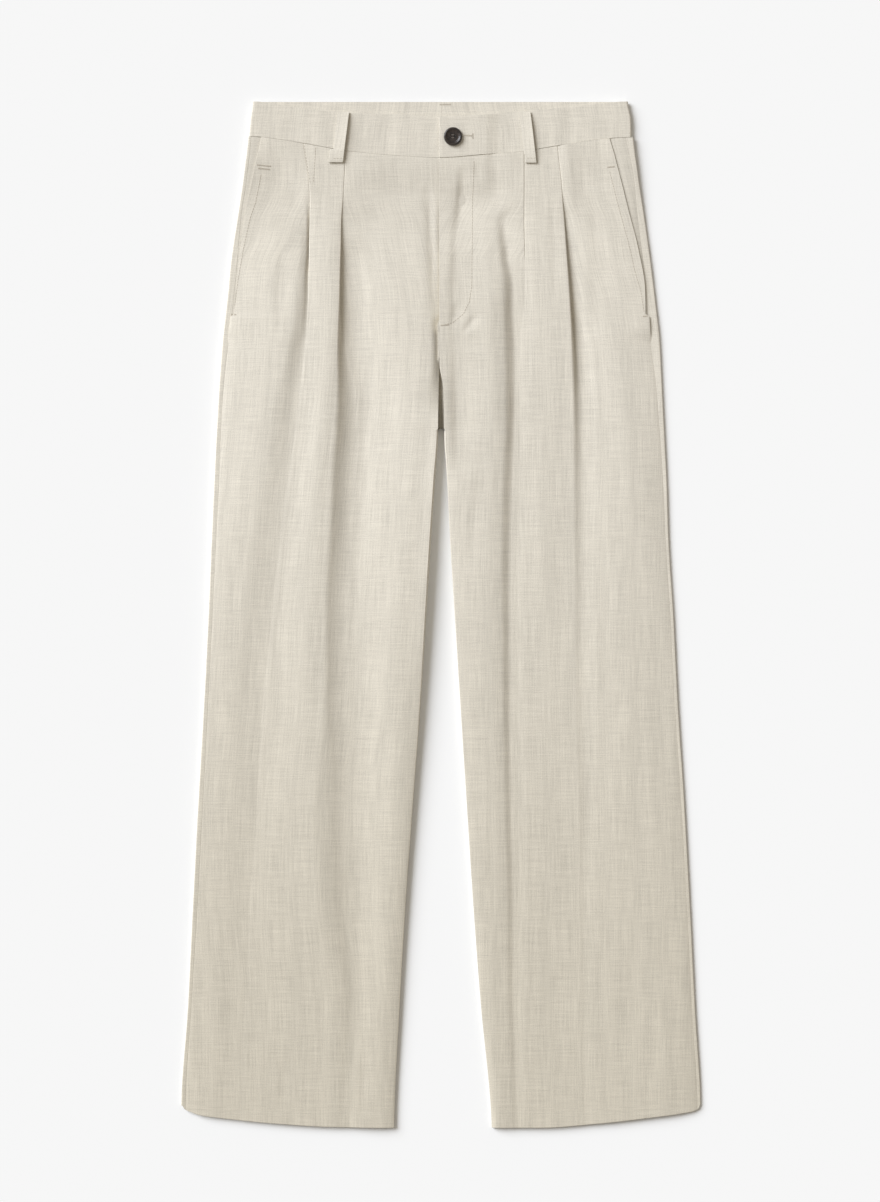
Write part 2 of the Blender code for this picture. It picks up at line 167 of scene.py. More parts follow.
class Table:
    """Rows of named columns, read at any key or array of keys by a curve that never overshoots.
    A column that is left out is the same at every key: 0, or what it is given by its name."""

    def __init__(self, columns, *rows, **same):
        self.columns, self.same = columns.split(), same
        self.rows = np.array(sorted(rows), float)
        self.rates = {name: self.rate(name) for name in self.columns[1:]}

    def rate(self, column):
        """How fast a column changes at each row: not at all at peaks, troughs and ends."""
        keys, values = self.rows[:, 0], self.rows[:, self.columns.index(column)]
        slopes = np.diff(values) / np.diff(keys)
        rate = np.zeros(len(keys))
        before, after = slopes[:-1], slopes[1:]
        same_way = before * after > 0
        total = np.where(same_way, before + after, 1)
        rate[1:-1] = np.where(same_way, 2 * before * after / total, 0)
        return rate

    def at(self, column, key):
        if column not in self.rates:
            return self.same.get(column, 0.0)
        keys, values = self.rows[:, 0], self.rows[:, self.columns.index(column)]
        rate = self.rates[column]
        key = np.clip(key, keys[0], keys[-1])
        i = np.clip(np.searchsorted(keys, key, "right") - 1, 0, len(keys) - 2)
        width = keys[i + 1] - keys[i]
        t = (key - keys[i]) / width
        start = (1 + 2 * t) * (1 - t) ** 2 * values[i] + t * (1 - t) ** 2 * width * rate[i]
        end = t * t * (3 - 2 * t) * values[i + 1] + t * t * (t - 1) * width * rate[i + 1]
        return start + end


# Each pleat: its fold's edge, its turn in degrees, the straight between its two bends and their
# radii, and the level of its edge above the height where the front lies. Beside its foot the cloth
# is flat for a way, dips, rises to a peak as far off as reach says, and falls to its edge within
# the brim. The steep share of that rise is near the foot, and the rest is an easy shoulder. Where
# the pleat is stitched, the tuck inside it brings the cloth beside it up to a share of its height.
FOLD_COLUMNS = "y top turn length top_radius foot_radius level "
RIGHT_INNER_PLEAT = Table(
    FOLD_COLUMNS + "dip peak reach steep edge brim tuck",
    (498, 101.6, 180, 13, 0.6, 0.6, 2.4, 0, 0.4, 60, 0.4, 0, 14, 0.9),
    (450, 103.7, 180, 13, 0.6, 0.6, 2.4, 0, 0.6, 60, 0.4, 0, 14, 0.9),
    (432, 104.8, 178, 12, 0.62, 0.62, 2.9, 0.4, 1.4, 66, 0.4, 0, 13, 0.75),
    (414, 106.3, 176, 9, 0.65, 0.65, 3.5, 0.8, 2.3, 70, 0.4, 0, 12, 0.45),
    (390, 106.8, 170, 7, 0.8, 0.8, 4.8, 1.1, 3.5, 76, 0.4, 0, 11, 0.2),
    (372, 107.4, 162, 5, 0.9, 0.8, 5.4, 1.4, 4.4, 80, 0.4, 0, 11, 0),
    (330, 108.6, 118, 2, 1.4, 1.6, 7.4, 1.7, 5.6, 88, 0.4, 0.2, 10.5, 0),
    (278, 110.8, 62, 1, 3.2, 9, 8.4, 1.8, 6.2, 96, 0.4, 1.2, 8, 0),
    (225, 111.9, 37, 1.5, 8, 28, 9.5, 1.6, 6.8, 96, 0.4, 4.6, 12, 0),
    (194.2, 114.2, 32, 2, 11, 36, 10.2, 1.4, 8.2, 92, 0.4, 8.5, 12, 0),
    (193.8, 114.2, 32, 2, 11, 36, 10.2, 1.4, 8.2, 92, 0.4, 0, 12, 0),
    (162, 117, 27, 2, 14, 46, 10.4, 1.2, 9.4, 82, 0.4, 0, 20, 0),
    (99, 120, 24, 2, 16, 50, 10.2, 1, 10.2, 72, 0.4, 0, 24, 0),
    (15, 124, 19, 2, 18, 60, 8.7, 0.8, 10, 60, 0.2, 0, 22, 0),
    (-90, 125.2, 16, 2, 22, 70, 7.4, 0.6, 9, 52, 0, 0, 18, 0),
    (-195, 135.4, 12, 2, 105, 76, 7.1, 0.4, 7.4, 46, 0, 0, 16, 0),
    (-300, 132.3, 11, 2, 110, 80, 6.2, 0.3, 6.2, 40, 0, 0, 15, 0),
    (-405, 117.6, 8, 2, 120, 60, 4.2, 0.2, 4.8, 30, 0, 0, 15, 0),
    (-530, 113, 3, 2, 120, 60, 2.8, 0, 3.6, 28, 0, 0, 15, 0),
)
RIGHT_OUTER_PLEAT = Table(
    FOLD_COLUMNS + "peak reach steep brim tuck",
    (498, 144.6, 180, 13, 0.6, 0.6, 2.4, 0.3, 30, 0, 50, 0.94),
    (450, 138.4, 180, 13, 0.6, 0.6, 2.5, 0.8, 26, 0, 50, 0.9),
    (432, 137.6, 178, 11, 0.6, 0.6, 2.8, 1.8, 18, 0.3, 50, 0.7),
    (414, 137.8, 174, 7, 0.6, 0.6, 3.3, 3.8, 12, 0.6, 50, 0.25),
    (394, 138.2, 165, 4.5, 0.6, 0.6, 3.9, 5, 11, 0.6, 50, 0.05),
    (372, 138.6, 120, 1.2, 0.6, 0.6, 4.6, 6.6, 11, 0.6, 55, 0),
    (352, 139, 60, 0.6, 0.5, 0.5, 5, 7.8, 12, 0.5, 55, 0),
    (336, 139.2, 30, 0.6, 0.6, 0.6, 5.3, 8.6, 13, 0.4, 60, 0),
    (320, 139.6, 14, 0.8, 1, 1, 5.7, 9.2, 14, 0.3, 60, 0),
    (300, 140.4, 8, 1, 2, 2, 6.2, 9.6, 16, 0.2, 60, 0),
    (278, 141.2, 8, 2, 3, 3, 6.8, 9.9, 19, 0, 60, 0),
    (225, 146.2, 5, 3, 6, 6, 7.5, 9.8, 24, 0, 60, 0),
    (162, 153.4, 4, 4, 8, 8, 7.6, 9.2, 26, 0, 60, 0),
    (99, 162.6, 4, 4, 10, 10, 6.7, 7.8, 28, 0, 55, 0),
    (15, 171, 5, 4, 12, 12, 5.2, 5.8, 30, 0, 50, 0),
    (-90, 182.4, 4, 4, 14, 14, 3.9, 4.2, 32, 0, 45, 0),
    (-195, 188.7, 4, 4, 16, 16, 3.1, 3.3, 32, 0, 40, 0),
    (-300, 196, 3, 4, 16, 16, 2.7, 2.9, 30, 0, 36, 0),
    (-405, 201, 3, 4, 16, 16, 2.6, 2.7, 28, 0, 34, 0),
    (-530, 207, 2, 4, 16, 16, 2.5, 2.6, 26, 0, 32, 0),
)
LEFT_INNER_PLEAT = Table(
    FOLD_COLUMNS + "flat peak reach edge brim tuck",
    (498, 87.4, 180, 13, 0.6, 0.6, 2.6, 0, 0.4, 46, 0.2, 50, 0.98),
    (450, 87.4, 180, 13, 0.6, 0.6, 2.7, 0, 0.6, 46, 1.4, 50, 0.98),
    (432, 87.4, 178, 11, 0.6, 0.6, 3.1, 6, 1.6, 46, 2.8, 50, 0.97),
    (414, 87.4, 172, 6, 0.6, 0.6, 3.6, 21, 3.8, 46, 5, 50, 0.96),
    (394, 87.8, 150, 3, 0.6, 0.6, 4.3, 20, 6.6, 45, 7.6, 50, 0.94),
    (378, 88.2, 105, 1.4, 0.5, 0.5, 4.7, 18, 8.6, 43, 10.6, 50, 0.9),
    (366, 88.6, 60, 0.8, 0.5, 0.5, 5, 16, 9.8, 41, 11.8, 50, 0.8),
    (354, 89.2, 28, 0.8, 0.8, 0.8, 5.2, 14, 10.8, 40, 12.6, 50, 0.4),
    (342, 89.8, 12, 1.5, 2, 2, 5.3, 13, 11.5, 39, 13, 50, 0),
    (327, 90.4, 6, 3, 4, 4, 5.4, 12, 12.1, 38, 13.2, 50, 0),
    (278, 90.6, 4, 8, 8, 10, 5.6, 4, 12.2, 37, 12.6, 50, 0),
    (225, 90.6, 3, 8, 12, 16, 5.5, 4, 11.9, 33, 11.8, 50, 0),
    (194.2, 90.6, 3, 8, 12, 16, 5.3, 5, 11.2, 32, 10.1, 40, 0),
    (193.8, 90.6, 3, 8, 12, 16, 5.3, 5, 11.2, 32, 0, 40, 0),
    (162, 90.6, 3, 8, 14, 18, 5, 6, 10.2, 34, 0, 34, 0),
    (99, 89.5, 3, 8, 14, 18, 4.3, 7, 8.8, 34, 0, 30, 0),
    (15, 88.5, 3, 8, 14, 18, 3.7, 7, 7.6, 32, 0, 30, 0),
    (-90, 88.5, 3, 8, 14, 18, 3.3, 7, 6.4, 28, 0, 26, 0),
    (-195, 89.5, 3, 8, 14, 18, 3, 7, 5.3, 26, 0, 22, 0),
    (-300, 90.6, 3, 8, 14, 18, 2.8, 6, 4.5, 24, 0, 18, 0),
    (-405, 89.5, 3, 8, 14, 18, 2.7, 4, 3.8, 22, 0, 16, 0),
    (-530, 88.5, 2, 8, 14, 18, 2.6, 0, 3.1, 18, 0, 14, 0),
    steep=0.55,
)
LEFT_OUTER_PLEAT = Table(
    FOLD_COLUMNS + "flat peak reach brim tuck",
    (498, 120.8, 180, 13, 0.6, 0.6, 2.4, 0, 0.8, 30, 50, 0.94),
    (450, 125.2, 180, 13, 0.6, 0.6, 2.5, 0, 1.2, 28, 50, 0.92),
    (432, 126.4, 178, 12, 0.65, 0.65, 3, 0, 1.8, 28, 50, 0.6),
    (414, 127.9, 177, 9, 0.65, 0.65, 3.4, 2, 2.4, 28, 50, 0.2),
    (372, 130.7, 168, 6, 0.9, 0.9, 5.2, 3, 3, 32, 70, 0),
    (330, 133.4, 140, 2.5, 1.3, 1.2, 6.4, 3, 3.4, 36, 70, 0),
    (278, 135.4, 80, 1, 2.8, 2.8, 6.3, 3, 3.8, 40, 70, 0),
    (225, 136.5, 36, 1, 6, 11, 5.3, 2, 4.1, 42, 70, 0),
    (162, 137, 21, 1, 11, 20, 4.4, 0, 4.3, 44, 70, 0),
    (99, 137.5, 14, 1, 15, 30, 3.7, 0, 4.1, 44, 65, 0),
    (15, 138.6, 9, 1, 19, 36, 2.9, 0, 3.8, 42, 60, 0),
    (-90, 139.5, 7, 1, 23, 42, 2.6, 0, 3.5, 40, 55, 0),
    (-195, 142.5, 6, 1, 25, 42, 2.5, 0, 3.2, 38, 50, 0),
    (-300, 144, 4, 1, 25, 42, 2.3, 0, 2.9, 36, 45, 0),
    (-405, 145, 3, 1, 25, 42, 2.3, 0, 2.8, 32, 40, 0),
    (-530, 147, 2, 1, 25, 42, 2.4, 0, 2.7, 28, 34, 0),
    steep=0.4,
)

RIGHT = {
    "side": -1,
    "outline": Table(
        "y inner seam outer",
        (498, 3.9, 200, 202.9), (456, 3.9, 204.3, 207.6), (414, 3.9, 211.3, 215),
        (372, 3.9, 214.8, 221.3), (330, 3.9, 218.9, 225.5), (288, 3.9, 223.6, 230.2),
        (246, 3.9, 228.4, 233.4), (194, 3.9, 231.9, 236.5), (141, 7.1, 233.9, 239.1),
        (78, 11.3, 237, 241.8), (-6, 16.5, 241.2, 245.4), (-90, 21.8, 245.4, 249.6),
        (-195, 29.7, 251, 255.7), (-300, 37.5, 256.5, 261.2), (-405, 43.8, 263, 266.4),
        (-539, 50.1, 269.6, 273.8),
    ),
    "pleats": (RIGHT_INNER_PLEAT, RIGHT_OUTER_PLEAT),
    "rolls": Table(
        "y side inseam",
        (498, 1.6, 1), (450, 1.5, 1), (400, 1.5, 1), (330, 1.9, 1.2),
        (250, 2.3, 1.4), (196, 2.3, 4.8), (130, 2.2, 6.2), (60, 2.1, 6.2),
        (15, 2, 5.9), (-90, 1.8, 4.5), (-195, 1.6, 3.4), (-300, 1.4, 2.8),
        (-405, 1.2, 2.2), (-530, 1, 1.6),
    ),
    "front_edge": Table(
        "y u",
        (500, -2), (318, -2), (303, 2.8),
        (262, 2.8), (236, 3.4), (200, 3.9),
    ),
    "mouth": Table(
        "y u",
        (498, 189), (456, 197.6), (414, 207.6),
        (372, 212.6), (330, 216.6), (314, 218),
    ),
    "waist": Table(
        "u y",
        (0, 479.7), (44, 481.6), (100, 486.9),
        (145, 494.8), (168, 498.5), (201, 502),
    ),
    "band_top": Table("u y", (0, 522.4), (44, 525), (96, 526.6), (149, 531.8), (197, 538.6)),
    "hem": Table(
        "u y",
        (55, -539), (119, -538), (182, -534), (233, -528.7),
        (254, -525.9), (263, -522.9), (270, -520), (273, -516),
    ),
    "band_outer": (202.4, 201, 198.6),
    "mouth_lift": 1.15,
    "crown": 1.3,
}
LEFT = {
    "side": 1,
    "outline": Table(
        "y inner seam outer",
        (498, 2.4, 193, 201), (456, 2.4, 201.7, 206.1), (414, 2.4, 206.7, 213.4),
        (372, 2.4, 211.9, 219.4), (330, 2.4, 215.9, 224.5), (288, 2.4, 219.2, 229.1),
        (246, 2.4, 225, 231.3), (194, 2.4, 229.2, 233.9), (141, 5.5, 232.8, 236.5),
        (78, 8.7, 235.6, 238.6), (-6, 13.9, 240.9, 243.9), (-90, 19.2, 245.1, 248.1),
        (-195, 26, 251.9, 254.9), (-300, 32.8, 257.7, 260.7), (-405, 40.7, 262.9, 265.9),
        (-539, 52.8, 269.2, 272.2),
    ),
    "pleats": (LEFT_INNER_PLEAT, LEFT_OUTER_PLEAT),
    "rolls": Table(
        "y side inseam",
        (498, 1.6, 1), (450, 1.4, 1), (400, 1, 1), (250, 0.9, 1.2),
        (196, 0.9, 5.6), (160, 0.9, 5), (99, 0.9, 4.2), (15, 0.9, 3.6),
        (-90, 0.9, 3), (-195, 0.9, 2.5), (-300, 0.9, 2.1), (-405, 0.9, 1.7),
        (-530, 0.8, 1.3),
    ),
    "front_edge": Table("y u", (500, -2.4), (318, -2.4), (262, -2.2), (236, 1.8), (200, 2.4)),
    "mouth": Table(
        "y u",
        (498, 175.2), (473, 181.4), (432, 193.5),
        (386, 206), (340, 213.6), (314, 214),
    ),
    "waist": Table(
        "u y",
        (0, 479.7), (45, 482.9), (82, 485.9),
        (121, 492.1), (175, 499.8), (199, 501),
    ),
    "band_top": Table("u y", (0, 522.4), (45, 524.5), (78, 527.6), (135, 532.9), (195, 538.6)),
    "hem": Table(
        "u y",
        (54, -539), (103, -539), (166, -534.5), (217, -528.7),
        (254, -523.8), (264, -522), (269.5, -519.6), (272, -515),
    ),
    "band_outer": (199.3, 199, 195.6),
    "mouth_lift": 1.9,
    "crown": 0.6,
}

# How a crease fades towards its ends
CREASE_FADE = 0.7
# Creases of the cloth, placed one by one from the photograph: the upper and the lower end as
# (across, down) pixels, the half width to the left and to the right, the height in millimetres,
# a trough if it is below zero, and how far its middle bows to the right, in millimetres
CREASES = (
    # beside the fly, from the waist seam down to the tack and past it
    ((461, 157), (456, 232), 2, 12, -1.5, 1.5),
    ((459, 180), (454, 352), 5, 32, -1.5, -1),
    ((474, 158), (479, 173), 2, 5, -0.5, 0),
    ((456, 303), (451, 327), 2, 7, -0.8, 0.5),
    ((476, 315), (464, 334), 2.6, 6, -1, -1),
    ((456, 335), (458, 475), 6.5, 30, -2.4, 0),
    ((429, 176), (438, 340), 5, 1.8, -2.1, 0),
    # across the fronts
    ((362, 205), (361, 335), 6, 16, -0.6, 1),
    ((283, 240), (279, 335), 4, 10, -0.6, -1),
    ((484, 430), (470, 570), 6, 14, -0.5, 1),
    ((594, 195), (598, 335), 7, 18, -0.8, 1),
    ((552, 205), (556, 300), 4, 14, -0.4, 0),
    # just above the hems
    ((283, 1052), (281, 1108), 2.2, 5, -0.5, 0.5),
    ((366, 1040), (362, 1112), 5, 9, -0.6, 0),
)


def photo(across, down):
    """(x, y) in millimetres of a point of the photograph."""
    return (across - ZERO_ACROSS) * MM_PER_PIXEL, (ZERO_DOWN - down) * MM_PER_PIXEL


def fall(value, start, end):
    """1 up to start and 0 past end, eased between them; start may lie on either side of end."""
    t = np.clip((value - start) / (end - start), 0.0, 1.0)
    return 1 - t * t * (3 - 2 * t)


def eased(start, end, count, ease):
    """count values from start towards end, without it, closer together there if ease is over 1."""
    t = np.linspace(0, 1, count, endpoint=False)
    return start + (end - start) * (1 - (1 - t) ** ease)


# Heights of the middle of the cloth, and the edges of the panels


def back_height(y):
    return CLOTH / 2 + LOOP_LIFT * fall(y, LIFT_FULL, LIFT_GONE)


def lying_height(y):
    """Where the front lies on the back."""
    return back_height(y) + LAYER


def waist_rise(y):
    return WAIST_RISE * fall(y, RISE_FULL, RISE_GONE)


def rolls_inward(y):
    """Whether the back turns up round the inseam: below the crotch the legs are apart."""
    return y < CROTCH_Y


def side_roll(leg, y):
    return float(leg["rolls"].at("side", y))


def inseam_roll(leg, y):
    return float(leg["rolls"].at("inseam", y))


def side_centre(leg, y):
    return leg["outline"].at("outer", y) - CLOTH / 2 - ROLL_WIDTH * side_roll(leg, y)


def side_seam(leg, y):
    return min(leg["outline"].at("seam", y), side_centre(leg, y) - GAP)


def inseam_start(leg, y):
    if rolls_inward(y):
        return leg["outline"].at("inner", y) + CLOTH / 2 + ROLL_WIDTH * inseam_roll(leg, y)
    return GAP / 2 + math.pi * inseam_roll(leg, y)


def base_height(leg, u, y):
    """The front without its pleats: on the back, and up to each rolled edge."""
    low = lying_height(y)
    side = back_height(y) + 2 * side_roll(leg, y) - low
    inseam = back_height(y) + 2 * inseam_roll(leg, y) - low
    height = low + side * fall(side_seam(leg, y) - u, 0, EDGE_FALL)
    if rolls_inward(y):
        height = height + inseam * fall(u - inseam_start(leg, y), 0, EDGE_FALL)
    return height


def fly_lift(u, y):
    over_shield = LAYER * fall(y, SHIELD_LEFT_Y, FLY_END_Y)
    over_band = OVERLAP_BULK * fall(y, BULK_FULL, BULK_GONE)
    return (over_shield + over_band) * fall(u, FLY_FALL_FROM, FLY_FALL_TO)


def mouth_lift(leg, u, y):
    """How high the pocket's mouth stands over the cloth behind it."""
    fade = fall(y, FACING_END_Y, FACING_END_Y - MOUTH_FALL)
    within = leg["mouth"].at("u", y) - u
    return leg["mouth_lift"] * fade * fall(within, FACING_UNDER, FACING_UNDER + MOUTH_FALL)


def centre_lip(off, y):
    """Along the centre the right front turns up towards the edge of the left one."""
    step = float(LEFT["pleats"][0].at("edge", y)) - float(RIGHT["pleats"][0].at("edge", y))
    share = 1 - LIP_SUNK * fall(y, FLY_TACK_Y - LIP_SINKS, FLY_TACK_Y)
    return max(step - LAYER - GAP, 0.0) * share * fall(off, 0, LIP_WIDTH)


def front_outer_edge(leg, y):
    if y > MOUTH_END_Y:
        return float(leg["mouth"].at("u", y))
    return side_seam(leg, y) + SEAM_TUCK


def front_inner_edge(leg, y):
    if rolls_inward(y):
        return inseam_start(leg, y) - SEAM_TUCK
    return float(leg["front_edge"].at("u", y))


def edge_line(leg, name, u):
    """The height of a named edge; past the centre line it is the other half's."""
    return np.where(u >= 0, leg[name].at("y", np.abs(u)), LEFT[name].at("y", np.abs(u)))


def back_waist(leg, u):
    return leg["waist"].at("y", PAST_SIDE) - BACK_DIP * fall(u, 0, BACK_DIP_WIDE)


def front_waist(leg, u):
    return edge_line(leg, "waist", u)


def creases_at(x, y):
    """The height that the creases add."""
    total = np.zeros(np.broadcast(x, y).shape)
    for start, end, left, right, height, bow in CREASES:
        ax, ay = photo(*start)
        bx, by = photo(*end)
        t = np.clip((y - ay) / (by - ay), 0, 1)
        off = x - ax - (bx - ax) * t - 4 * bow * t * (1 - t)
        width = np.where(off < 0, left, right)
        total += height * np.sin(np.pi * t) ** CREASE_FADE * np.exp(-((off / width) ** 2))
    return total


# Sections across a leg


def panel_columns(edge, foot, top, counts):
    """Columns from a panel's edge to the foot of its pleat, close together at the fold."""
    way = math.copysign(1.0, foot - edge)
    near = min(foot * way, top * way) * way
    closed = min(abs(foot - near) / FOLD_CLOSED, 1)
    stops = (
        edge + LIP_WIDTH * way,
        near - FOLD_NEAR * way,
        near - FOLD_AT * way,
        near + (FOLD_UNDER * closed - FOLD_BEFORE * (1 - closed)) * way,
        foot,
    )
    stretches = zip(stops, stops[1:], counts, COLUMN_EASE)
    return np.concatenate([[edge], *(eased(*stretch) for stretch in stretches)])


class Flank:
    """The front's cloth at one height y, on one side: from the panel's edge to the pleat's fold."""

    def __init__(self, leg, y, inner):
        self.leg, self.y, self.inner = leg, y, inner
        self.way = 1.0 if inner else -1.0
        self.pleat = leg["pleats"][0 if inner else 1]
        self.edge = front_inner_edge(leg, y) if inner else front_outer_edge(leg, y)
        self.top = self.value("top")
        self.level = lying_height(y) + self.value("level")
        self.bend = self.pleat_bend()
        self.foot = self.top - self.bend[-1, 0] * self.way
        # Where the fold hangs over its own foot, distances count from the fold's edge
        self.hidden = max((self.foot - self.top) * self.way, 0.0)

    def value(self, column):
        return float(self.pleat.at(column, self.y))

    def pleat_bend(self):
        """(across, up) from the pleat's low side to its high side: a bend, a straight, a bend."""
        turn = math.radians(self.value("turn"))
        angles = np.linspace(0, turn, BEND_STEPS + 1)
        curve = np.stack([np.sin(angles), 1 - np.cos(angles)], 1)
        straight = self.value("length") * np.array([math.cos(turn), math.sin(turn)])
        first, second = self.value("foot_radius") * curve, self.value("top_radius") * curve
        end = first[-1] + straight + second[-1]
        share = np.linspace(0, 1, FOLD_STEPS + 1)[1:-1, None]
        return np.concatenate([first, first[-1] + straight * share, end - second[::-1]])

    def rest_height(self):
        """Where the panel's edge lies before the pleat's own edge column is added."""
        rest = base_height(self.leg, self.edge, self.y) + mouth_lift(self.leg, self.edge, self.y)
        return rest + waist_rise(self.y) if self.inner else rest

    def hill(self, distance):
        """The height at a distance from the fold: low, a peak, and down to the edge."""
        span = (self.foot - self.edge) * self.way - self.hidden
        reach = min(self.value("reach"), LONGEST_REACH * span)
        brim = min(self.value("brim"), span - reach)
        low = self.level - self.bend[-1, 1]
        peak = lying_height(self.y) + self.value("peak") + waist_rise(self.y)
        edge = self.rest_height() + self.value("edge")
        flat, share = self.value("flat"), self.value("steep")
        steep = fall(distance, flat, flat + STEEP_PART * (reach - flat))
        risen = 1 - share * steep - (1 - share) * fall(distance, flat, reach)
        lowered = np.clip((distance - span + brim) / brim, 0, 1) ** EDGE_EASE
        dipped = np.sin(np.pi * np.clip(distance / DIP_WIDTH, 0, 1) ** DIP_SKEW) ** 2
        return low - self.value("dip") * dipped + (peak - low) * risen + (edge - peak) * lowered

    def tuck(self, before):
        """What the stitched-down fold adds, before its edge."""
        risen = 1 - fall(before, TUCK_FROM, TUCK_FULL)
        kept = fall(before, TUCK_LEVEL, self.value("reach"))
        return self.value("tuck") * self.bend[-1, 1] * kept * risen

    def seam_dip(self, u):
        free = not rolls_inward(self.y) if self.inner else self.y > MOUTH_END_Y
        return 0.0 if free else SEAM_SINK * np.exp(-np.abs(u - self.edge) / SEAM_SOFT)

    def heights(self, u):
        z = self.hill(np.maximum((self.foot - u) * self.way - self.hidden, 0.0))
        if self.inner and self.leg is LEFT:
            z = over(z, lying_height(self.y) + fly_lift(u, self.y))
        if self.inner and self.leg is RIGHT and self.y > FLY_END_Y:
            z = z + centre_lip(u - self.edge, self.y)
        z = z + self.tuck((self.top - u) * self.way) - self.seam_dip(u)
        return z + creases_at(self.leg["side"] * u, self.y)

    def stretch(self):
        """(u, z) from the panel's edge to the pleat's foot."""
        counts = INNER_COLUMNS if self.inner else OUTER_COLUMNS
        u = panel_columns(self.edge, self.foot, self.top, counts)
        return np.stack([u, self.heights(u)], 1)

    def fold(self):
        """(u, z) from the foot to the fold's edge, as high as the cloth on both sides asks."""
        low = float(self.heights(np.array([self.foot]))[0])
        high = self.level + float(creases_at(self.leg["side"] * self.top, self.y))
        scale = np.array([self.way, (high - low) / self.bend[-1, 1]])
        return np.array([self.foot, low]) + self.bend * scale


def over(height, support):
    """The height of cloth that softly lies over a support."""
    return (height + support + np.sqrt((height - support) ** 2 + LIE_SOFT)) / 2


def strip_crown(leg, off, width, y):
    """How far the strip between the pleats bulges, a share off across it from its inner edge."""
    sharp = fall(y, SHARP_ABOVE, SOFT_BELOW)
    rolled = (1 - np.exp(-off * width / EDGE_ROLL)) * (1 - off * off)
    even = np.sin(np.pi * off**CROWN_SKEW) ** 2 * fall(y, CROWN_FALLS_FROM, CROWN_GONE)
    opened = 1 - fall(y, CROWN_FROM, CROWN_FULL)
    return leg["crown"] * opened * (rolled * sharp + even * (1 - sharp))


def front_section(leg, y):
    """(u, z) across the front: the centre, the strip that the two pleats raise, and the side."""
    inner, outer = Flank(leg, y, True), Flank(leg, y, False)
    share = np.linspace(0, 1, STRIP_COLUMNS)[1:-1]
    width = outer.top - inner.top
    u = inner.top + width * share
    level = inner.level * (1 - share) + outer.level * share
    z = level + strip_crown(leg, share, width, y) + creases_at(leg["side"] * u, y)
    parts = [
        inner.stretch(),
        inner.fold(),
        np.stack([u, z], 1),
        outer.fold()[::-1],
        outer.stretch()[::-1],
    ]
    return np.concatenate(parts)


def back_section(leg, y):
    """(u, z) round the back, from the side seam on top over the floor to the inseam."""
    floor, centre = back_height(y), side_centre(leg, y)
    roll, inward = side_roll(leg, y), inseam_roll(leg, y)
    wrap_u = np.linspace(side_seam(leg, y), centre, WRAP_COLUMNS, endpoint=False)
    angles = np.linspace(0, math.pi, ROLL_STEPS + 1)
    side_u, side_z = centre + ROLL_WIDTH * roll * np.sin(angles), roll * (1 + np.cos(angles))
    start = inseam_start(leg, y)
    floor_u = np.linspace(centre, start, FLOOR_COLUMNS, endpoint=False)[1:]
    if rolls_inward(y):
        inner_u = start - inward * ROLL_WIDTH * np.sin(angles)
        inner_z = inward * (1 - np.cos(angles))
    else:
        inner_u, inner_z = start - inward * angles, np.zeros(ROLL_STEPS + 1)
    parts = [
        np.stack([wrap_u, np.full(len(wrap_u), 2 * roll)], 1),
        np.stack([side_u, side_z], 1),
        np.stack([floor_u, np.zeros(len(floor_u))], 1),
        np.stack([inner_u, inner_z], 1),
    ]
    return np.concatenate(parts) + np.array([0, floor])


def facing_section(leg, y):
    """The cloth behind a pocket's mouth, from a little inside it to the side seam."""
    mouth, seam = leg["mouth"].at("u", y), side_seam(leg, y) + SEAM_TUCK
    u = np.linspace(mouth - FACING_UNDER, seam, FACING_COLUMNS)
    raised = max(leg["mouth_lift"] - LAYER, 0.0) * fall(u, mouth, seam)
    z = base_height(leg, u, y) + raised - SEAM_SINK * np.exp(-(seam - u) / SEAM_SOFT)
    return np.stack([u, z], 1)


def shield_section(_, y):
    """The fly's underlap."""
    u = np.linspace(SHIELD_FROM + GAP, SHIELD_WIDTH, SHIELD_COLUMNS)
    return np.stack([u, np.full(SHIELD_COLUMNS, lying_height(y))], 1)


# Grids of points: rows down the garment, columns across it


def warped(leg, u, y, waist_y):
    """y, bent near the ends so that they follow the waist seam and the hem."""
    waist = (waist_y - GAP / 2 - WAIST_Y) * fall(y, WAIST_Y, WAIST_WARP_GONE)
    hem = (leg["hem"].at("y", u) - HEM_Y) * (1 - fall(y, HEM_WARP_FROM, HEM_Y))
    return y + waist + hem


def panel(leg, section, waist, end=HEM_Y):
    """The grid of a section's (u, z) at each station down to the end."""
    grid = []
    for y in STATIONS[STATIONS >= end]:
        u, z = section(leg, y).T
        grid.append(np.stack([leg["side"] * u, warped(leg, u, y, waist(leg, u)), z], 1))
    return np.array(grid)


def band_height(leg, u):
    """The band's front, thicker over the pleats, and the left half over the right one."""
    inner, outer = (pleat.at("top", WAIST_Y) for pleat in leg["pleats"])
    half = (outer - inner) / 2
    bulk = BAND_BULK * fall(np.abs(u - (inner + outer) / 2), half, half + BAND_BULK_FALL)
    lap = 0.0 if leg is RIGHT else (BAND + GAP) * fall(u, FLY_FALL_FROM, FLY_FALL_TO)
    return LOOP_LIFT + BAND / 2 + 2 * BAND_ROLL + bulk + lap


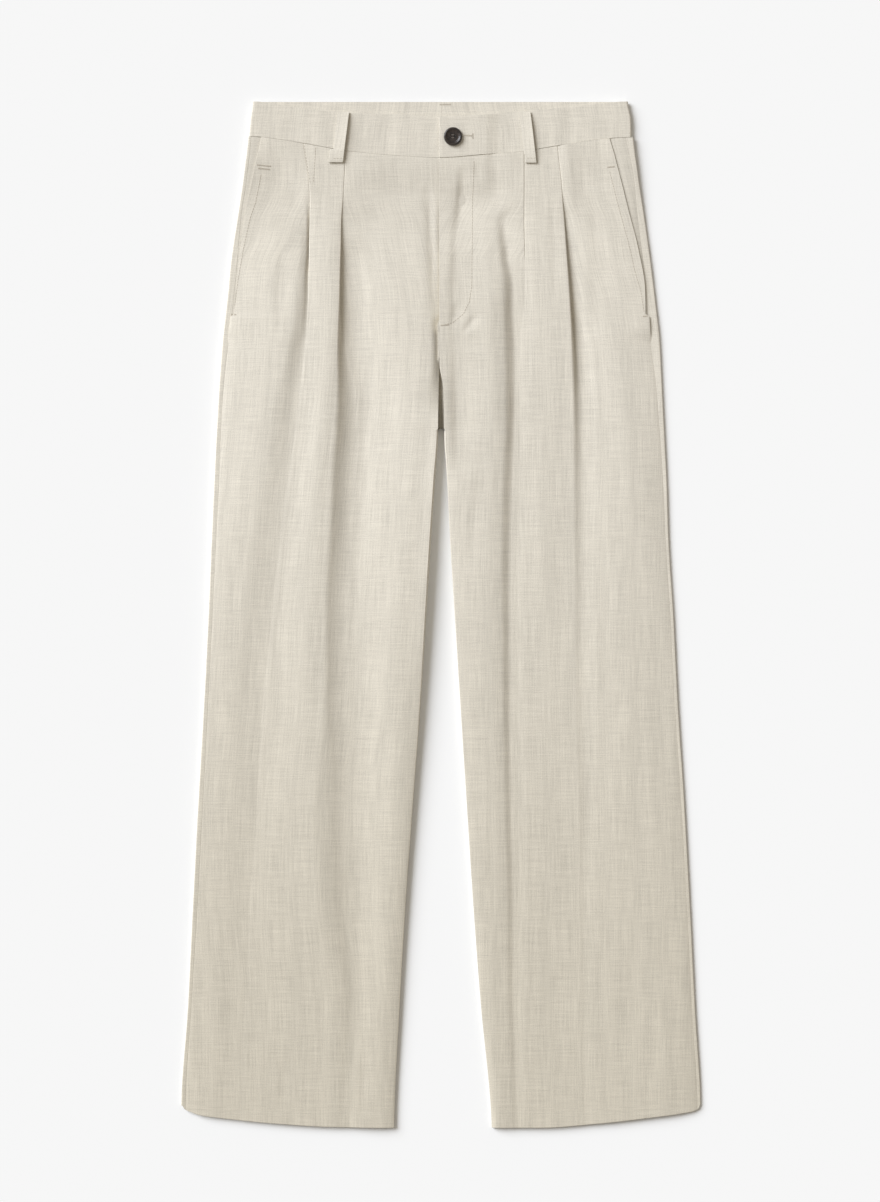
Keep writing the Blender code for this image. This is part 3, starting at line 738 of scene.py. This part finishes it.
def band_grid(leg):
    """Half of the waistband, from the centre back, round the side, to its front end."""
    floor = LOOP_LIFT + BAND / 2
    end = CENTRE_FRONT if leg is LEFT else -SHIELD_WIDTH
    outers = Table("share outer", *zip((0, 0.5, 1), leg["band_outer"]))
    angles = np.linspace(0, math.pi, ROLL_STEPS + 1)
    side_low = np.full(len(angles), leg["waist"].at("y", PAST_SIDE))
    side_high = leg["band_top"].at("y", PAST_SIDE)
    grid = []
    for share in np.linspace(0, 1, BAND_ROWS):
        centre = outers.at("outer", share) - BAND / 2 - BAND_ROLL
        back_u = np.linspace(BACK_SEAM, centre, BAND_BACK_COLUMNS, endpoint=False)
        front_u = np.linspace(centre, end, BAND_FRONT_COLUMNS)[1:]
        u = np.concatenate([back_u, centre + BAND_ROLL * np.sin(angles), front_u])
        turn_z = floor + BAND_ROLL * (1 - np.cos(angles))
        z = np.concatenate([np.full(len(back_u), floor), turn_z, band_height(leg, front_u)])
        low = np.concatenate([back_waist(leg, back_u), side_low, front_waist(leg, front_u)])
        behind = np.full(len(back_u) + len(angles), side_high)
        high = np.concatenate([behind, edge_line(leg, "band_top", front_u)])
        y = low + GAP / 2 + (high - low - GAP / 2) * share
        grid.append(np.stack([leg["side"] * u, y, z], 1))
    return np.array(grid)


def loop_grid(top, bottom, low, lift, tab=0.0):
    """A belt loop between two points: its right side stands off by the lift, and its folded end is
    wider on the left by the tab."""
    tab_rows = [TAB_FROM - TAB_STEP, TAB_FROM + TAB_STEP]
    share = np.linspace(0, 1, LOOP_COLUMNS)
    grid = []
    for t in np.sort(np.append(np.linspace(0, 1, LOOP_ROWS), tab_rows)):
        x, y = (top[i] + (bottom[i] - top[i]) * t for i in (0, 1))
        z = low + LOOP / 2 + lift * share * math.sin(math.pi * t) ** LOOP_BOW
        left = -LOOP_WIDTH / 2 - (tab if t > TAB_FROM else 0.0)
        across = left + (LOOP_WIDTH / 2 - left) * share
        grid.append(np.stack([x + across, np.full(LOOP_COLUMNS, y), z], 1))
    return np.array(grid)


# Meshes

# A line of points this close inside each border, so that only the edge is rounded
EDGE_INSET, INSET_MOST = 0.25, 0.4
EDGE_BULGE = 0.12
TINY = 1e-9


def lengths(steps):
    return np.maximum(np.linalg.norm(steps, axis=-1, keepdims=True), TINY)


def directions(grid, axis):
    """Along one axis of a grid, the way through each point."""
    steps = np.diff(grid, axis=axis)
    steps = np.moveaxis(steps / lengths(steps), axis, 0)
    total = np.concatenate([steps[:1], steps[:-1] + steps[1:], steps[-1:]])
    return np.moveaxis(total, 0, axis)


def edged(grid):
    """The grid with a line of points close inside each border."""
    for axis in (0, 1):
        lines = np.moveaxis(grid, axis, 0)
        first, last = lines[1] - lines[0], lines[-2] - lines[-1]
        after = lines[:1] + first * np.minimum(EDGE_INSET / lengths(first), INSET_MOST)
        before = lines[-1:] + last * np.minimum(EDGE_INSET / lengths(last), INSET_MOST)
        lines = np.concatenate([lines[:1], after, lines[1:-1], before, lines[-1:]])
        grid = np.moveaxis(lines, 0, axis)
    return grid


def rim_of(rows, columns):
    """The grid's outer points in order."""
    index = np.arange(rows * columns).reshape(rows, columns)
    return np.concatenate([index[0], index[1:, -1], index[-1, -2::-1], index[-2:0:-1, 0]])


def grid_faces(rows, columns, first):
    """Faces of a grid of points, numbered from first."""
    index = first + np.arange(rows * columns).reshape(rows, columns)
    corners = [index[:-1, :-1], index[:-1, 1:], index[1:, 1:], index[1:, :-1]]
    return np.stack(corners, 2).reshape(-1, 4)


def wall(grid, thickness):
    """Points and faces of a closed wall whose middle is the grid, with rounded edges. Which side's
    points come first is all that the thickness's sign changes."""
    rows, columns = grid.shape[:2]
    normal = np.cross(directions(grid, 0), directions(grid, 1))
    normal *= thickness / 2 / np.linalg.norm(normal, axis=2, keepdims=True)
    flat, rim = grid.reshape(-1, 3), rim_of(rows, columns)
    following = np.roll(rim, -1)
    outward = np.cross(flat[following] - flat[np.roll(rim, 1)], normal.reshape(-1, 3)[rim])
    outward /= lengths(outward)
    if np.sum(outward * (flat[rim] - flat.mean(0))) < 0:
        outward = -outward
    sides = [(grid + normal).reshape(-1, 3), (grid - normal).reshape(-1, 3)]
    points = np.concatenate([*sides, flat[rim] + outward * EDGE_BULGE])
    under = rows * columns
    here = 2 * under + np.arange(len(rim))
    after = np.roll(here, -1)
    faces = [
        grid_faces(rows, columns, 0),
        grid_faces(rows, columns, under)[:, ::-1],
        np.stack([following, rim, here, after], 1),
        np.stack([after, here, under + rim, under + following], 1),
    ]
    return points, np.concatenate(faces).tolist()


def closed_object(name, points, faces, finish, slot):
    """A smooth closed object of points in millimetres, fixed in the root body."""
    mesh = bpy.data.meshes.new(name)
    mesh.from_pydata((np.array(points) * MM).tolist(), [], faces)
    turned = bmesh.new()
    turned.from_mesh(mesh)
    bmesh.ops.recalc_face_normals(turned, faces=turned.faces)
    turned.to_mesh(mesh)
    turned.free()
    mesh.shade_smooth()
    mesh.materials.append(finish)
    made = bpy.data.objects.new(name, mesh)
    bpy.context.scene.collection.objects.link(made)
    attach(made, "root")
    return made


def add_weave_map(mesh, grid):
    """A map of the cloth in metres: how far across it, and how high on the garment."""
    rows, columns = grid.shape[:2]
    across = np.zeros((rows, columns))
    across[:, 1:] = np.cumsum(np.linalg.norm(np.diff(grid, axis=1), axis=2), axis=1)
    across -= across[:, columns // 2 : columns // 2 + 1].copy()
    one = np.stack([across, grid[:, :, 1]], 2).reshape(-1, 2) * MM
    every = np.concatenate([one, one, one[rim_of(rows, columns)]])
    layer = mesh.uv_layers.new(name="weave")
    corners = np.empty(len(mesh.loops), int)
    mesh.loops.foreach_get("vertex_index", corners)
    layer.data.foreach_set("uv", every[corners].ravel())


def cloth_piece(name, grid, thickness, node, finish, slot="cloth"):
    """A wall of cloth on the grid, in place of a node of the part."""
    grid = edged(grid)
    made = closed_object(name, *wall(grid, thickness), finish, slot)
    add_weave_map(made.data, grid)
    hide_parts(node)
    return made


# Stitches

TOP_LOOK = 100.0
STITCH_RADIUS = 0.27
STITCH_LONG, STITCH_PITCH = 2.3, 3.0
STITCH_NEAR = 0.3
TACK_WIDE, TACK_PITCH = 1.7, 0.85
# The threads are real, but their tones are darker than the cloth as painted shade along the stitch
# lines
SHADED_SEWING_TONE, SHADED_TACK_TONE = (0.50, 0.455, 0.375), (0.50, 0.45, 0.37)

# Lines of stitches as (across, down) pixels: along the line, or bar tacks across it
SEWN_LINES = {
    "fly": (
        (474, 161), (472.5, 200), (472, 250), (471.5, 288),
        (469, 303), (463, 315), (453, 323), (441, 327),
    ),
    "pocket_left": (
        (609.5, 171), (616, 197), (623, 223), (630, 249),
        (634.5, 270), (640.7, 291), (644, 312),
    ),
    "pocket_right": (
        (261, 174), (255.7, 201.7), (250.8, 215.8),
        (243.8, 246.6), (238, 280), (234, 312),
    ),
    "pleat_right_outer": ((304, 145), (310, 183)),
    "pleat_right_inner": ((315.7, 147), (313.4, 182)),
    "loop_right_end": ((333, 158.6), (342.5, 158.6)),
    "loop_left_end": ((526.5, 158.4), (536, 158.4)),
}
TACKS = {
    "fly_tack": ((440.5, 326.3), (449, 325.6)),
    "pocket_left_top": ((607, 167.5), (614.7, 166.5)),
    "pocket_left_end": ((642.5, 316.4), (648, 315.8)),
    "pocket_right_top": ((257, 165), (271, 166.2)),
    "pocket_right_top_low": ((258, 168.4), (270, 169.4)),
    "pocket_right_end": ((231, 314.7), (236.5, 314.7)),
    "centre_back": ((439.5, 104.2), (451, 104)),
    "buttonhole": ((463.5, 135.6), (472, 136.2)),
    "buttonhole_end": ((472.6, 133.6), (472.8, 139.2)),
}

# A thread's (place along its half, share of its radius), from end to end
CAPSULE_SIDES = 6
CAPSULE = ((-1.0, 0.15), (-0.9, 0.75), (-0.6, 1.0), (0.6, 1.0), (0.9, 0.75), (1.0, 0.15))


def top_at(pieces, x, y):
    """The height of the uppermost of the pieces at x and y, all in millimetres."""
    best = 0.0
    above, down = Vector((x * MM, y * MM, TOP_LOOK * MM)), Vector((0, 0, -1))
    for piece in pieces:
        hit, place, _, _ = piece.ray_cast(above, down)
        if hit:
            best = max(best, place.z / MM)
    return best


def places_along(line, pitch):
    """(x, y) and the direction at even steps along a line through pixels of the photograph."""
    points = np.array([photo(*pixel) for pixel in line])
    gone = np.concatenate([[0], np.cumsum(np.linalg.norm(np.diff(points, axis=0), axis=1))])
    count = max(round(gone[-1] / pitch), 1)
    at = (np.arange(count) + 0.5) * gone[-1] / count

    def place(where):
        return np.stack([np.interp(where, gone, points[:, i]) for i in (0, 1)], 1)

    before, after = place(at - STITCH_NEAR), place(at + STITCH_NEAR)
    way = after - before
    return (before + after) / 2, way / np.linalg.norm(way, axis=1, keepdims=True)


def turned_faces(levels, sides):
    """Faces of a closed body of rings of points, one ring at each level."""
    faces = [tuple(range(sides - 1, -1, -1))]
    for low in range(0, (levels - 1) * sides, sides):
        for i in range(sides):
            j = (i + 1) % sides
            faces.append((low + i, low + j, low + sides + j, low + sides + i))
    faces.append(tuple(range((levels - 1) * sides, levels * sides)))
    return faces


def capsule(start, end, radius):
    """Points of a round-ended thread between two points."""
    start, end = np.array(start), np.array(end)
    middle, half = (start + end) / 2, (end - start) / 2
    aside = np.array([-half[1], half[0], 0.0])
    aside /= np.linalg.norm(aside)
    up = np.cross(half, aside)
    up /= np.linalg.norm(up)
    points = []
    for along, share in CAPSULE:
        for angle in np.arange(CAPSULE_SIDES) * math.tau / CAPSULE_SIDES:
            ring = aside * math.cos(angle) + up * math.sin(angle)
            points.append(middle + half * along + ring * radius * share)
    return points


def threads(name, ends, radius, finish):
    """One object of many threads, each between a pair of ends in millimetres."""
    one = turned_faces(len(CAPSULE), CAPSULE_SIDES)
    points, faces = [], []
    for start, end in ends:
        faces += [tuple(len(points) + i for i in face) for face in one]
        points += capsule(start, end, radius)
    return closed_object(name, points, faces, finish, "cloth")


def laid(pieces, place, way, long):
    """Both ends of a stitch that lies on the pieces."""
    ends = (place - way * long / 2, place + way * long / 2)
    return [(x, y, top_at(pieces, x, y)) for x, y in ends]


def sew(kind, lines, pitch, long, finish, across=False):
    """An object for each line of stitches, which lie along it or across it."""
    pieces = [made for made in bpy.data.objects if made.name.startswith("cloth_")]
    for name, line in lines.items():
        places, ways = places_along(line, pitch)
        if across:
            ways = np.stack([-ways[:, 1], ways[:, 0]], 1)
        ends = [laid(pieces, place, way, long) for place, way in zip(places, ways)]
        threads(f"{kind}_{name}", ends, STITCH_RADIUS, finish)


def add_stitching():
    bpy.context.view_layer.update()
    sewing, dense = thread("sewing_thread", SHADED_SEWING_TONE), thread("tack_thread", SHADED_TACK_TONE)
    sew("stitches", SEWN_LINES, STITCH_PITCH, STITCH_LONG, sewing)
    sew("tack", TACKS, TACK_PITCH, TACK_WIDE, dense, across=True)


# The button

# Its middle, the rows of points on its turned face, and the (radius, height) of its underside
BUTTON_AT = (11.8, 501.4)
BUTTON_PROFILE = Table(
    "radius height",
    (0, 1.75), (5.2, 1.8), (6.3, 2), (7.2, 2.7), (8.1, 2.95), (8.9, 2.75), (9.4, 2.2), (9.65, 1.5),
)
BUTTON_SIDES = 96
BUTTON_RADII = np.concatenate([np.linspace(0.12, 3.6, 26), np.linspace(3.9, 9.65, 22)])
BUTTON_UNDER = ((9.65, 1.0), (9.2, 0.35), (8.2, 0.0))
# Its four holes, as far out along and across, with soft rims, and the thread through them
HOLE_OUT = 2.1 / math.sqrt(2)
HOLE_RADIUS, HOLE_DEPTH = 0.95, 1.3
RIM_INSIDE, RIM_OUTSIDE = 0.25, 0.1
BUTTON_THREAD, THREAD_PAST = 0.24, 0.3
THREAD_LOW, THREAD_HIGH = 1.7, 1.9
BUTTON_SEWING_TONE = (0.12, 0.10, 0.085)


def button_face(x, y):
    height = BUTTON_PROFILE.at("height", np.hypot(x, y))
    for hole_x in (-HOLE_OUT, HOLE_OUT):
        for hole_y in (-HOLE_OUT, HOLE_OUT):
            off = np.hypot(x - hole_x, y - hole_y)
            hole = fall(off, HOLE_RADIUS - RIM_INSIDE, HOLE_RADIUS + RIM_OUTSIDE)
            height = height - HOLE_DEPTH * hole
    return height


def button_points():
    """Rings of points from the middle of the face over the edge to the underside."""
    angles = np.arange(BUTTON_SIDES) * math.tau / BUTTON_SIDES
    cosines, sines = np.cos(angles), np.sin(angles)
    rings = []
    for radius in BUTTON_RADII:
        x, y = radius * cosines, radius * sines
        rings.append(np.stack([x, y, button_face(x, y)], 1))
    for radius, height in BUTTON_UNDER:
        rings.append(np.stack([radius * cosines, radius * sines, height + 0 * angles], 1))
    return np.concatenate(rings)


def add_button():
    """A closed turned body with four holes, and the thread through them."""
    bands = [made for made in bpy.data.objects if made.name.startswith("cloth_band")]
    low = top_at(bands, *BUTTON_AT) + GAP
    points = button_points() + np.array([*BUTTON_AT, low])
    faces = turned_faces(len(BUTTON_RADII) + len(BUTTON_UNDER), BUTTON_SIDES)
    made = closed_object("button_turned", points, faces, horn(), "button")
    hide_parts("button")
    x, far = BUTTON_AT[0], HOLE_OUT + THREAD_PAST
    ends = []
    for hole_y in (-HOLE_OUT, HOLE_OUT):
        for shift in (-THREAD_PAST, 0.0, THREAD_PAST):
            y = BUTTON_AT[1] + hole_y + shift
            ends.append([(x - far, y, low + THREAD_LOW), (x + far, y, low + THREAD_HIGH)])
    threads("button_thread", ends, BUTTON_THREAD, thread("button_sewing", BUTTON_SEWING_TONE))


# Materials

THREAD_PITCH = 0.00062
# The cloth's tone at the waist, and a darker tone at the hem that is painted shade for light
# falling off down the garment, eased in between these heights of the weave map
TOP_TONE = (0.701, 0.660, 0.574)
HEM_PAINTED_SHADE_TONE = (0.600, 0.555, 0.460)
HEM_SHADE_FROM, HEM_SHADE_TO = 0.30, -0.52
# The facings and the fly's underlap are the same linen made darker: painted shade
INSIDE_PAINTED_SHADE = 0.94
LINEN_FINISH = {"Roughness": 0.92, "Specular IOR Level": 0.2}
LINEN_SHEEN = {"Sheen Weight": 0.12, "Sheen Roughness": 0.6}
# The slubs: each noise's size across and along in metres, its detail, roughness and weight
SLUBS = (
    (0.0012, 0.040, 3.0, 0.6, 0.30),
    (0.030, 0.0012, 3.0, 0.6, 0.26),
    (0.012, 0.16, 2.0, 0.5, 0.16),
    (0.0011, 0.0011, 2.0, 0.6, 0.28),
)
SLUBS_LOW, SLUBS_HIGH = 0.36, 0.64
DARKEST, LIGHTEST = 0.775, 1.205
THREAD_RELIEF, SLUB_RELIEF = 0.12, 2.0
RELIEF = {"Strength": 0.45, "Distance": 0.0004}
THREAD_NOISE, THREAD_TONES = 1800.0, (0.85, 1.15)
HORN_NOISE = {"Scale": 320.0, "Detail": 4.0}


def nodes_of(name):
    made = bpy.data.materials.new(name)
    made.use_nodes = True
    tree = made.node_tree
    return made, tree, tree.nodes["Principled BSDF"]


def set_values(node, values):
    for key, value in values.items():
        node.inputs[key].default_value = value


def add(tree, kind, values=None, **settings):
    """A node with its settings, and the constants on its sockets."""
    node = tree.nodes.new(kind)
    for key, value in settings.items():
        setattr(node, key, value)
    set_values(node, values or {})
    return node


def combined(tree, operation, a, b=None):
    """A math node between two sockets or numbers."""
    node = add(tree, "ShaderNodeMath", operation=operation)
    for socket, value in zip(node.inputs, (a, b)):
        if isinstance(value, (int, float)):
            socket.default_value = value
        elif value is not None:
            tree.links.new(value, socket)
    return node.outputs[0]


def streaks(tree, u, v, across, along, detail, rough):
    """Noise drawn out along one way of the cloth: its size across and along, in metres."""
    place = add(tree, "ShaderNodeCombineXYZ")
    tree.links.new(combined(tree, "DIVIDE", u, across), place.inputs[0])
    tree.links.new(combined(tree, "DIVIDE", v, along), place.inputs[1])
    noise = add(tree, "ShaderNodeTexNoise", {"Scale": 1.0, "Detail": detail, "Roughness": rough})
    tree.links.new(place.outputs[0], noise.inputs["Vector"])
    return noise.outputs["Fac"]


def slubs(tree, u, v):
    """All the streaks of thicker and thinner thread, weighted and added."""
    total = None
    for *noise, weight in SLUBS:
        part = combined(tree, "MULTIPLY", streaks(tree, u, v, *noise), weight)
        total = part if total is None else combined(tree, "ADD", total, part)
    return total


def ramped(tree, value, limits, **settings):
    """A value moved from one range to another."""
    node = add(tree, "ShaderNodeMapRange", limits, **settings)
    tree.links.new(value, node.inputs["Value"])
    return node.outputs["Result"]


def mixed(tree, tones, shares, factor):
    """A colour between two tones, each darkened or lightened by its share."""
    pairs = zip("AB", tones, shares)
    ends = {key: (*(share * c for c in tone), 1) for key, tone, share in pairs}
    node = add(tree, "ShaderNodeMix", ends, data_type="RGBA")
    tree.links.new(factor, node.inputs["Factor"])
    return node.outputs["Result"]


def cloth_colour(tree, v, total, shade):
    """The tone, darker towards the hem as painted shade, and lighter and darker with the slubs."""
    limits = {"From Min": HEM_SHADE_FROM, "From Max": HEM_SHADE_TO}
    down = ramped(tree, v, limits, interpolation_type="SMOOTHSTEP")
    tones = mixed(tree, (TOP_TONE, HEM_PAINTED_SHADE_TONE), (shade, shade), down)
    limits = {"From Min": SLUBS_LOW, "From Max": SLUBS_HIGH, "To Min": DARKEST, "To Max": LIGHTEST}
    scaled = add(tree, "ShaderNodeVectorMath", operation="SCALE")
    tree.links.new(tones, scaled.inputs[0])
    tree.links.new(ramped(tree, total, limits), scaled.inputs["Scale"])
    return scaled.outputs[0]


def weave_relief(tree, u, v, total):
    """The threads over and under each other, and the slubs, as a bump."""
    warp = combined(tree, "SINE", combined(tree, "MULTIPLY", u, math.tau / THREAD_PITCH))
    weft = combined(tree, "SINE", combined(tree, "MULTIPLY", v, math.tau / THREAD_PITCH))
    crossed = combined(tree, "MULTIPLY", combined(tree, "MULTIPLY", warp, weft), THREAD_RELIEF)
    thick = combined(tree, "MULTIPLY", total, SLUB_RELIEF)
    bump = add(tree, "ShaderNodeBump", RELIEF)
    tree.links.new(combined(tree, "ADD", crossed, thick), bump.inputs["Height"])
    return bump.outputs[0]


def linen(name, shade=1.0):
    """Slubbed plain weave, with painted shade deepening its tone towards the hems."""
    made, tree, shader = nodes_of(name)
    weave = add(tree, "ShaderNodeUVMap", uv_map="weave")
    split = add(tree, "ShaderNodeSeparateXYZ")
    tree.links.new(weave.outputs["UV"], split.inputs[0])
    u, v = split.outputs[0], split.outputs[1]
    total = slubs(tree, u, v)
    tree.links.new(cloth_colour(tree, v, total, shade), shader.inputs["Base Color"])
    tree.links.new(weave_relief(tree, u, v, total), shader.inputs["Normal"])
    set_values(shader, LINEN_FINISH | LINEN_SHEEN)
    return made


def noise_in_place(tree, values):
    place = add(tree, "ShaderNodeTexCoord")
    noise = add(tree, "ShaderNodeTexNoise", values)
    tree.links.new(place.outputs["Object"], noise.inputs["Vector"])
    return noise.outputs["Fac"]


def thread(name, tone):
    """Twisted sewing thread, with a slight sheen."""
    made, tree, shader = nodes_of(name)
    twist = noise_in_place(tree, {"Scale": THREAD_NOISE})
    colour = mixed(tree, (tone, tone), THREAD_TONES, twist)
    tree.links.new(colour, shader.inputs["Base Color"])
    set_values(shader, {"Roughness": 0.7, "Sheen Weight": 0.2})
    return made


def horn():
    """Dark horn, clouded and polished."""
    made, tree, shader = nodes_of("button_horn")
    ramp = add(tree, "ShaderNodeValToRGB")
    dark, light = ramp.color_ramp.elements
    dark.position, dark.color = 0.35, (0.010, 0.008, 0.008, 1)
    light.position, light.color = 0.75, (0.055, 0.040, 0.032, 1)
    tree.links.new(noise_in_place(tree, HORN_NOISE), ramp.inputs["Fac"])
    tree.links.new(ramp.outputs["Color"], shader.inputs["Base Color"])
    set_values(shader, {"Roughness": 0.34, "Coat Weight": 0.2})
    return made


def floor_material():
    made, _, shader = nodes_of("floor_white")
    set_values(shader, {"Base Color": FLOOR_TONE, "Roughness": 0.9, "Specular IOR Level": 0.0})
    return made


# The stage

LENS, SENSOR = 85, 36
# The camera frames the photograph at this height, about the middle of the cloth
FRAMED_AT = 5.0
FLOOR_WIDE, FLOOR_BELOW = 8.0, 0.3
FLOOR_TONE = (0.907, 0.915, 0.917, 1)
SKY_TONE, SKY_STRENGTH = (1.0, 0.92, 0.80, 1), 0.365
SUN_TONE, SUN_ENERGY, SUN_WIDE = (0.97, 1.0, 1.06), 4.05, 42
SUN_TOWARDS = (-0.70, 0.49, 0.53)


def add_camera():
    data = bpy.data.cameras.new("camera")
    data.lens = LENS
    data.sensor_width = SENSOR
    camera = bpy.data.objects.new("camera", data)
    bpy.context.scene.collection.objects.link(camera)
    x, y = photo(PHOTO_WIDE / 2, PHOTO_HIGH / 2)
    distance = PHOTO_HIGH * MM_PER_PIXEL * LENS / SENSOR
    camera.location = (x * MM, y * MM, (distance + FRAMED_AT) * MM)
    bpy.context.scene.camera = camera


def add_floor():
    bpy.ops.mesh.primitive_plane_add(size=FLOOR_WIDE, location=(0, 0, -FLOOR_BELOW * MM))
    floor = bpy.context.object
    floor.name = "floor"
    floor.data.materials.append(floor_material())


def add_light():
    world = bpy.data.worlds.new("studio")
    bpy.context.scene.world = world
    world.use_nodes = True
    set_values(world.node_tree.nodes["Background"], {"Color": SKY_TONE, "Strength": SKY_STRENGTH})
    key = bpy.data.lights.new("key", "SUN")
    key.energy = SUN_ENERGY
    key.angle = math.radians(SUN_WIDE)
    key.color = SUN_TONE
    lamp = bpy.data.objects.new("key", key)
    bpy.context.scene.collection.objects.link(lamp)
    lamp.rotation_euler = Vector(SUN_TOWARDS).to_track_quat("Z", "Y").to_euler()
    bpy.context.scene.view_settings.view_transform = "Standard"


def add_leg(word, leg, shell, inside):
    grid = panel(leg, back_section, back_waist)
    back = cloth_piece(f"cloth_back_{word}", grid, CLOTH, f"back_{word}", shell)
    grid = panel(leg, front_section, front_waist)
    upper_first = CLOTH * leg["side"]
    cloth_piece(f"cloth_front_{word}", grid, upper_first, f"front_{word}", shell)
    cloth_piece(f"cloth_band_{word}", band_grid(leg), BAND, f"waistband_{word}", shell)
    node = f"pocket_facing_{word}"
    grid = panel(leg, facing_section, front_waist, FACING_END_Y)
    cloth_piece(f"cloth_facing_{word}", grid, CLOTH, node, inside, "facing_cloth")


def add_loops(shell):
    for word, top, bottom, tab in FRONT_LOOPS:
        grid = loop_grid(top, bottom, LOOP_LOW, LOOP_STAND, tab)
        cloth_piece(f"cloth_loop_{word}", grid, LOOP, f"loop_front_{word}", shell)
    for word, x in BACK_LOOPS:
        grid = loop_grid((x, BACK_LOOP_TOP), (x, BACK_LOOP_BOTTOM), 0.0, 0.0)
        cloth_piece(f"cloth_loop_back_{word}", grid, LOOP, f"loop_back_{word}", shell)


def main():
    add_camera()
    add_floor()
    add_light()
    # The inside cloth is the shell's linen darkened as painted shade
    shell, inside = linen("linen"), linen("linen_inside_painted_shade", INSIDE_PAINTED_SHADE)
    for word, leg in (("right", RIGHT), ("left", LEFT)):
        add_leg(word, leg, shell, inside)
    grid = panel(LEFT, shield_section, front_waist, FLY_TACK_Y)
    cloth_piece("cloth_shield", grid, CLOTH, "fly_shield", inside)
    add_loops(shell)
    add_stitching()
    add_button()


main()
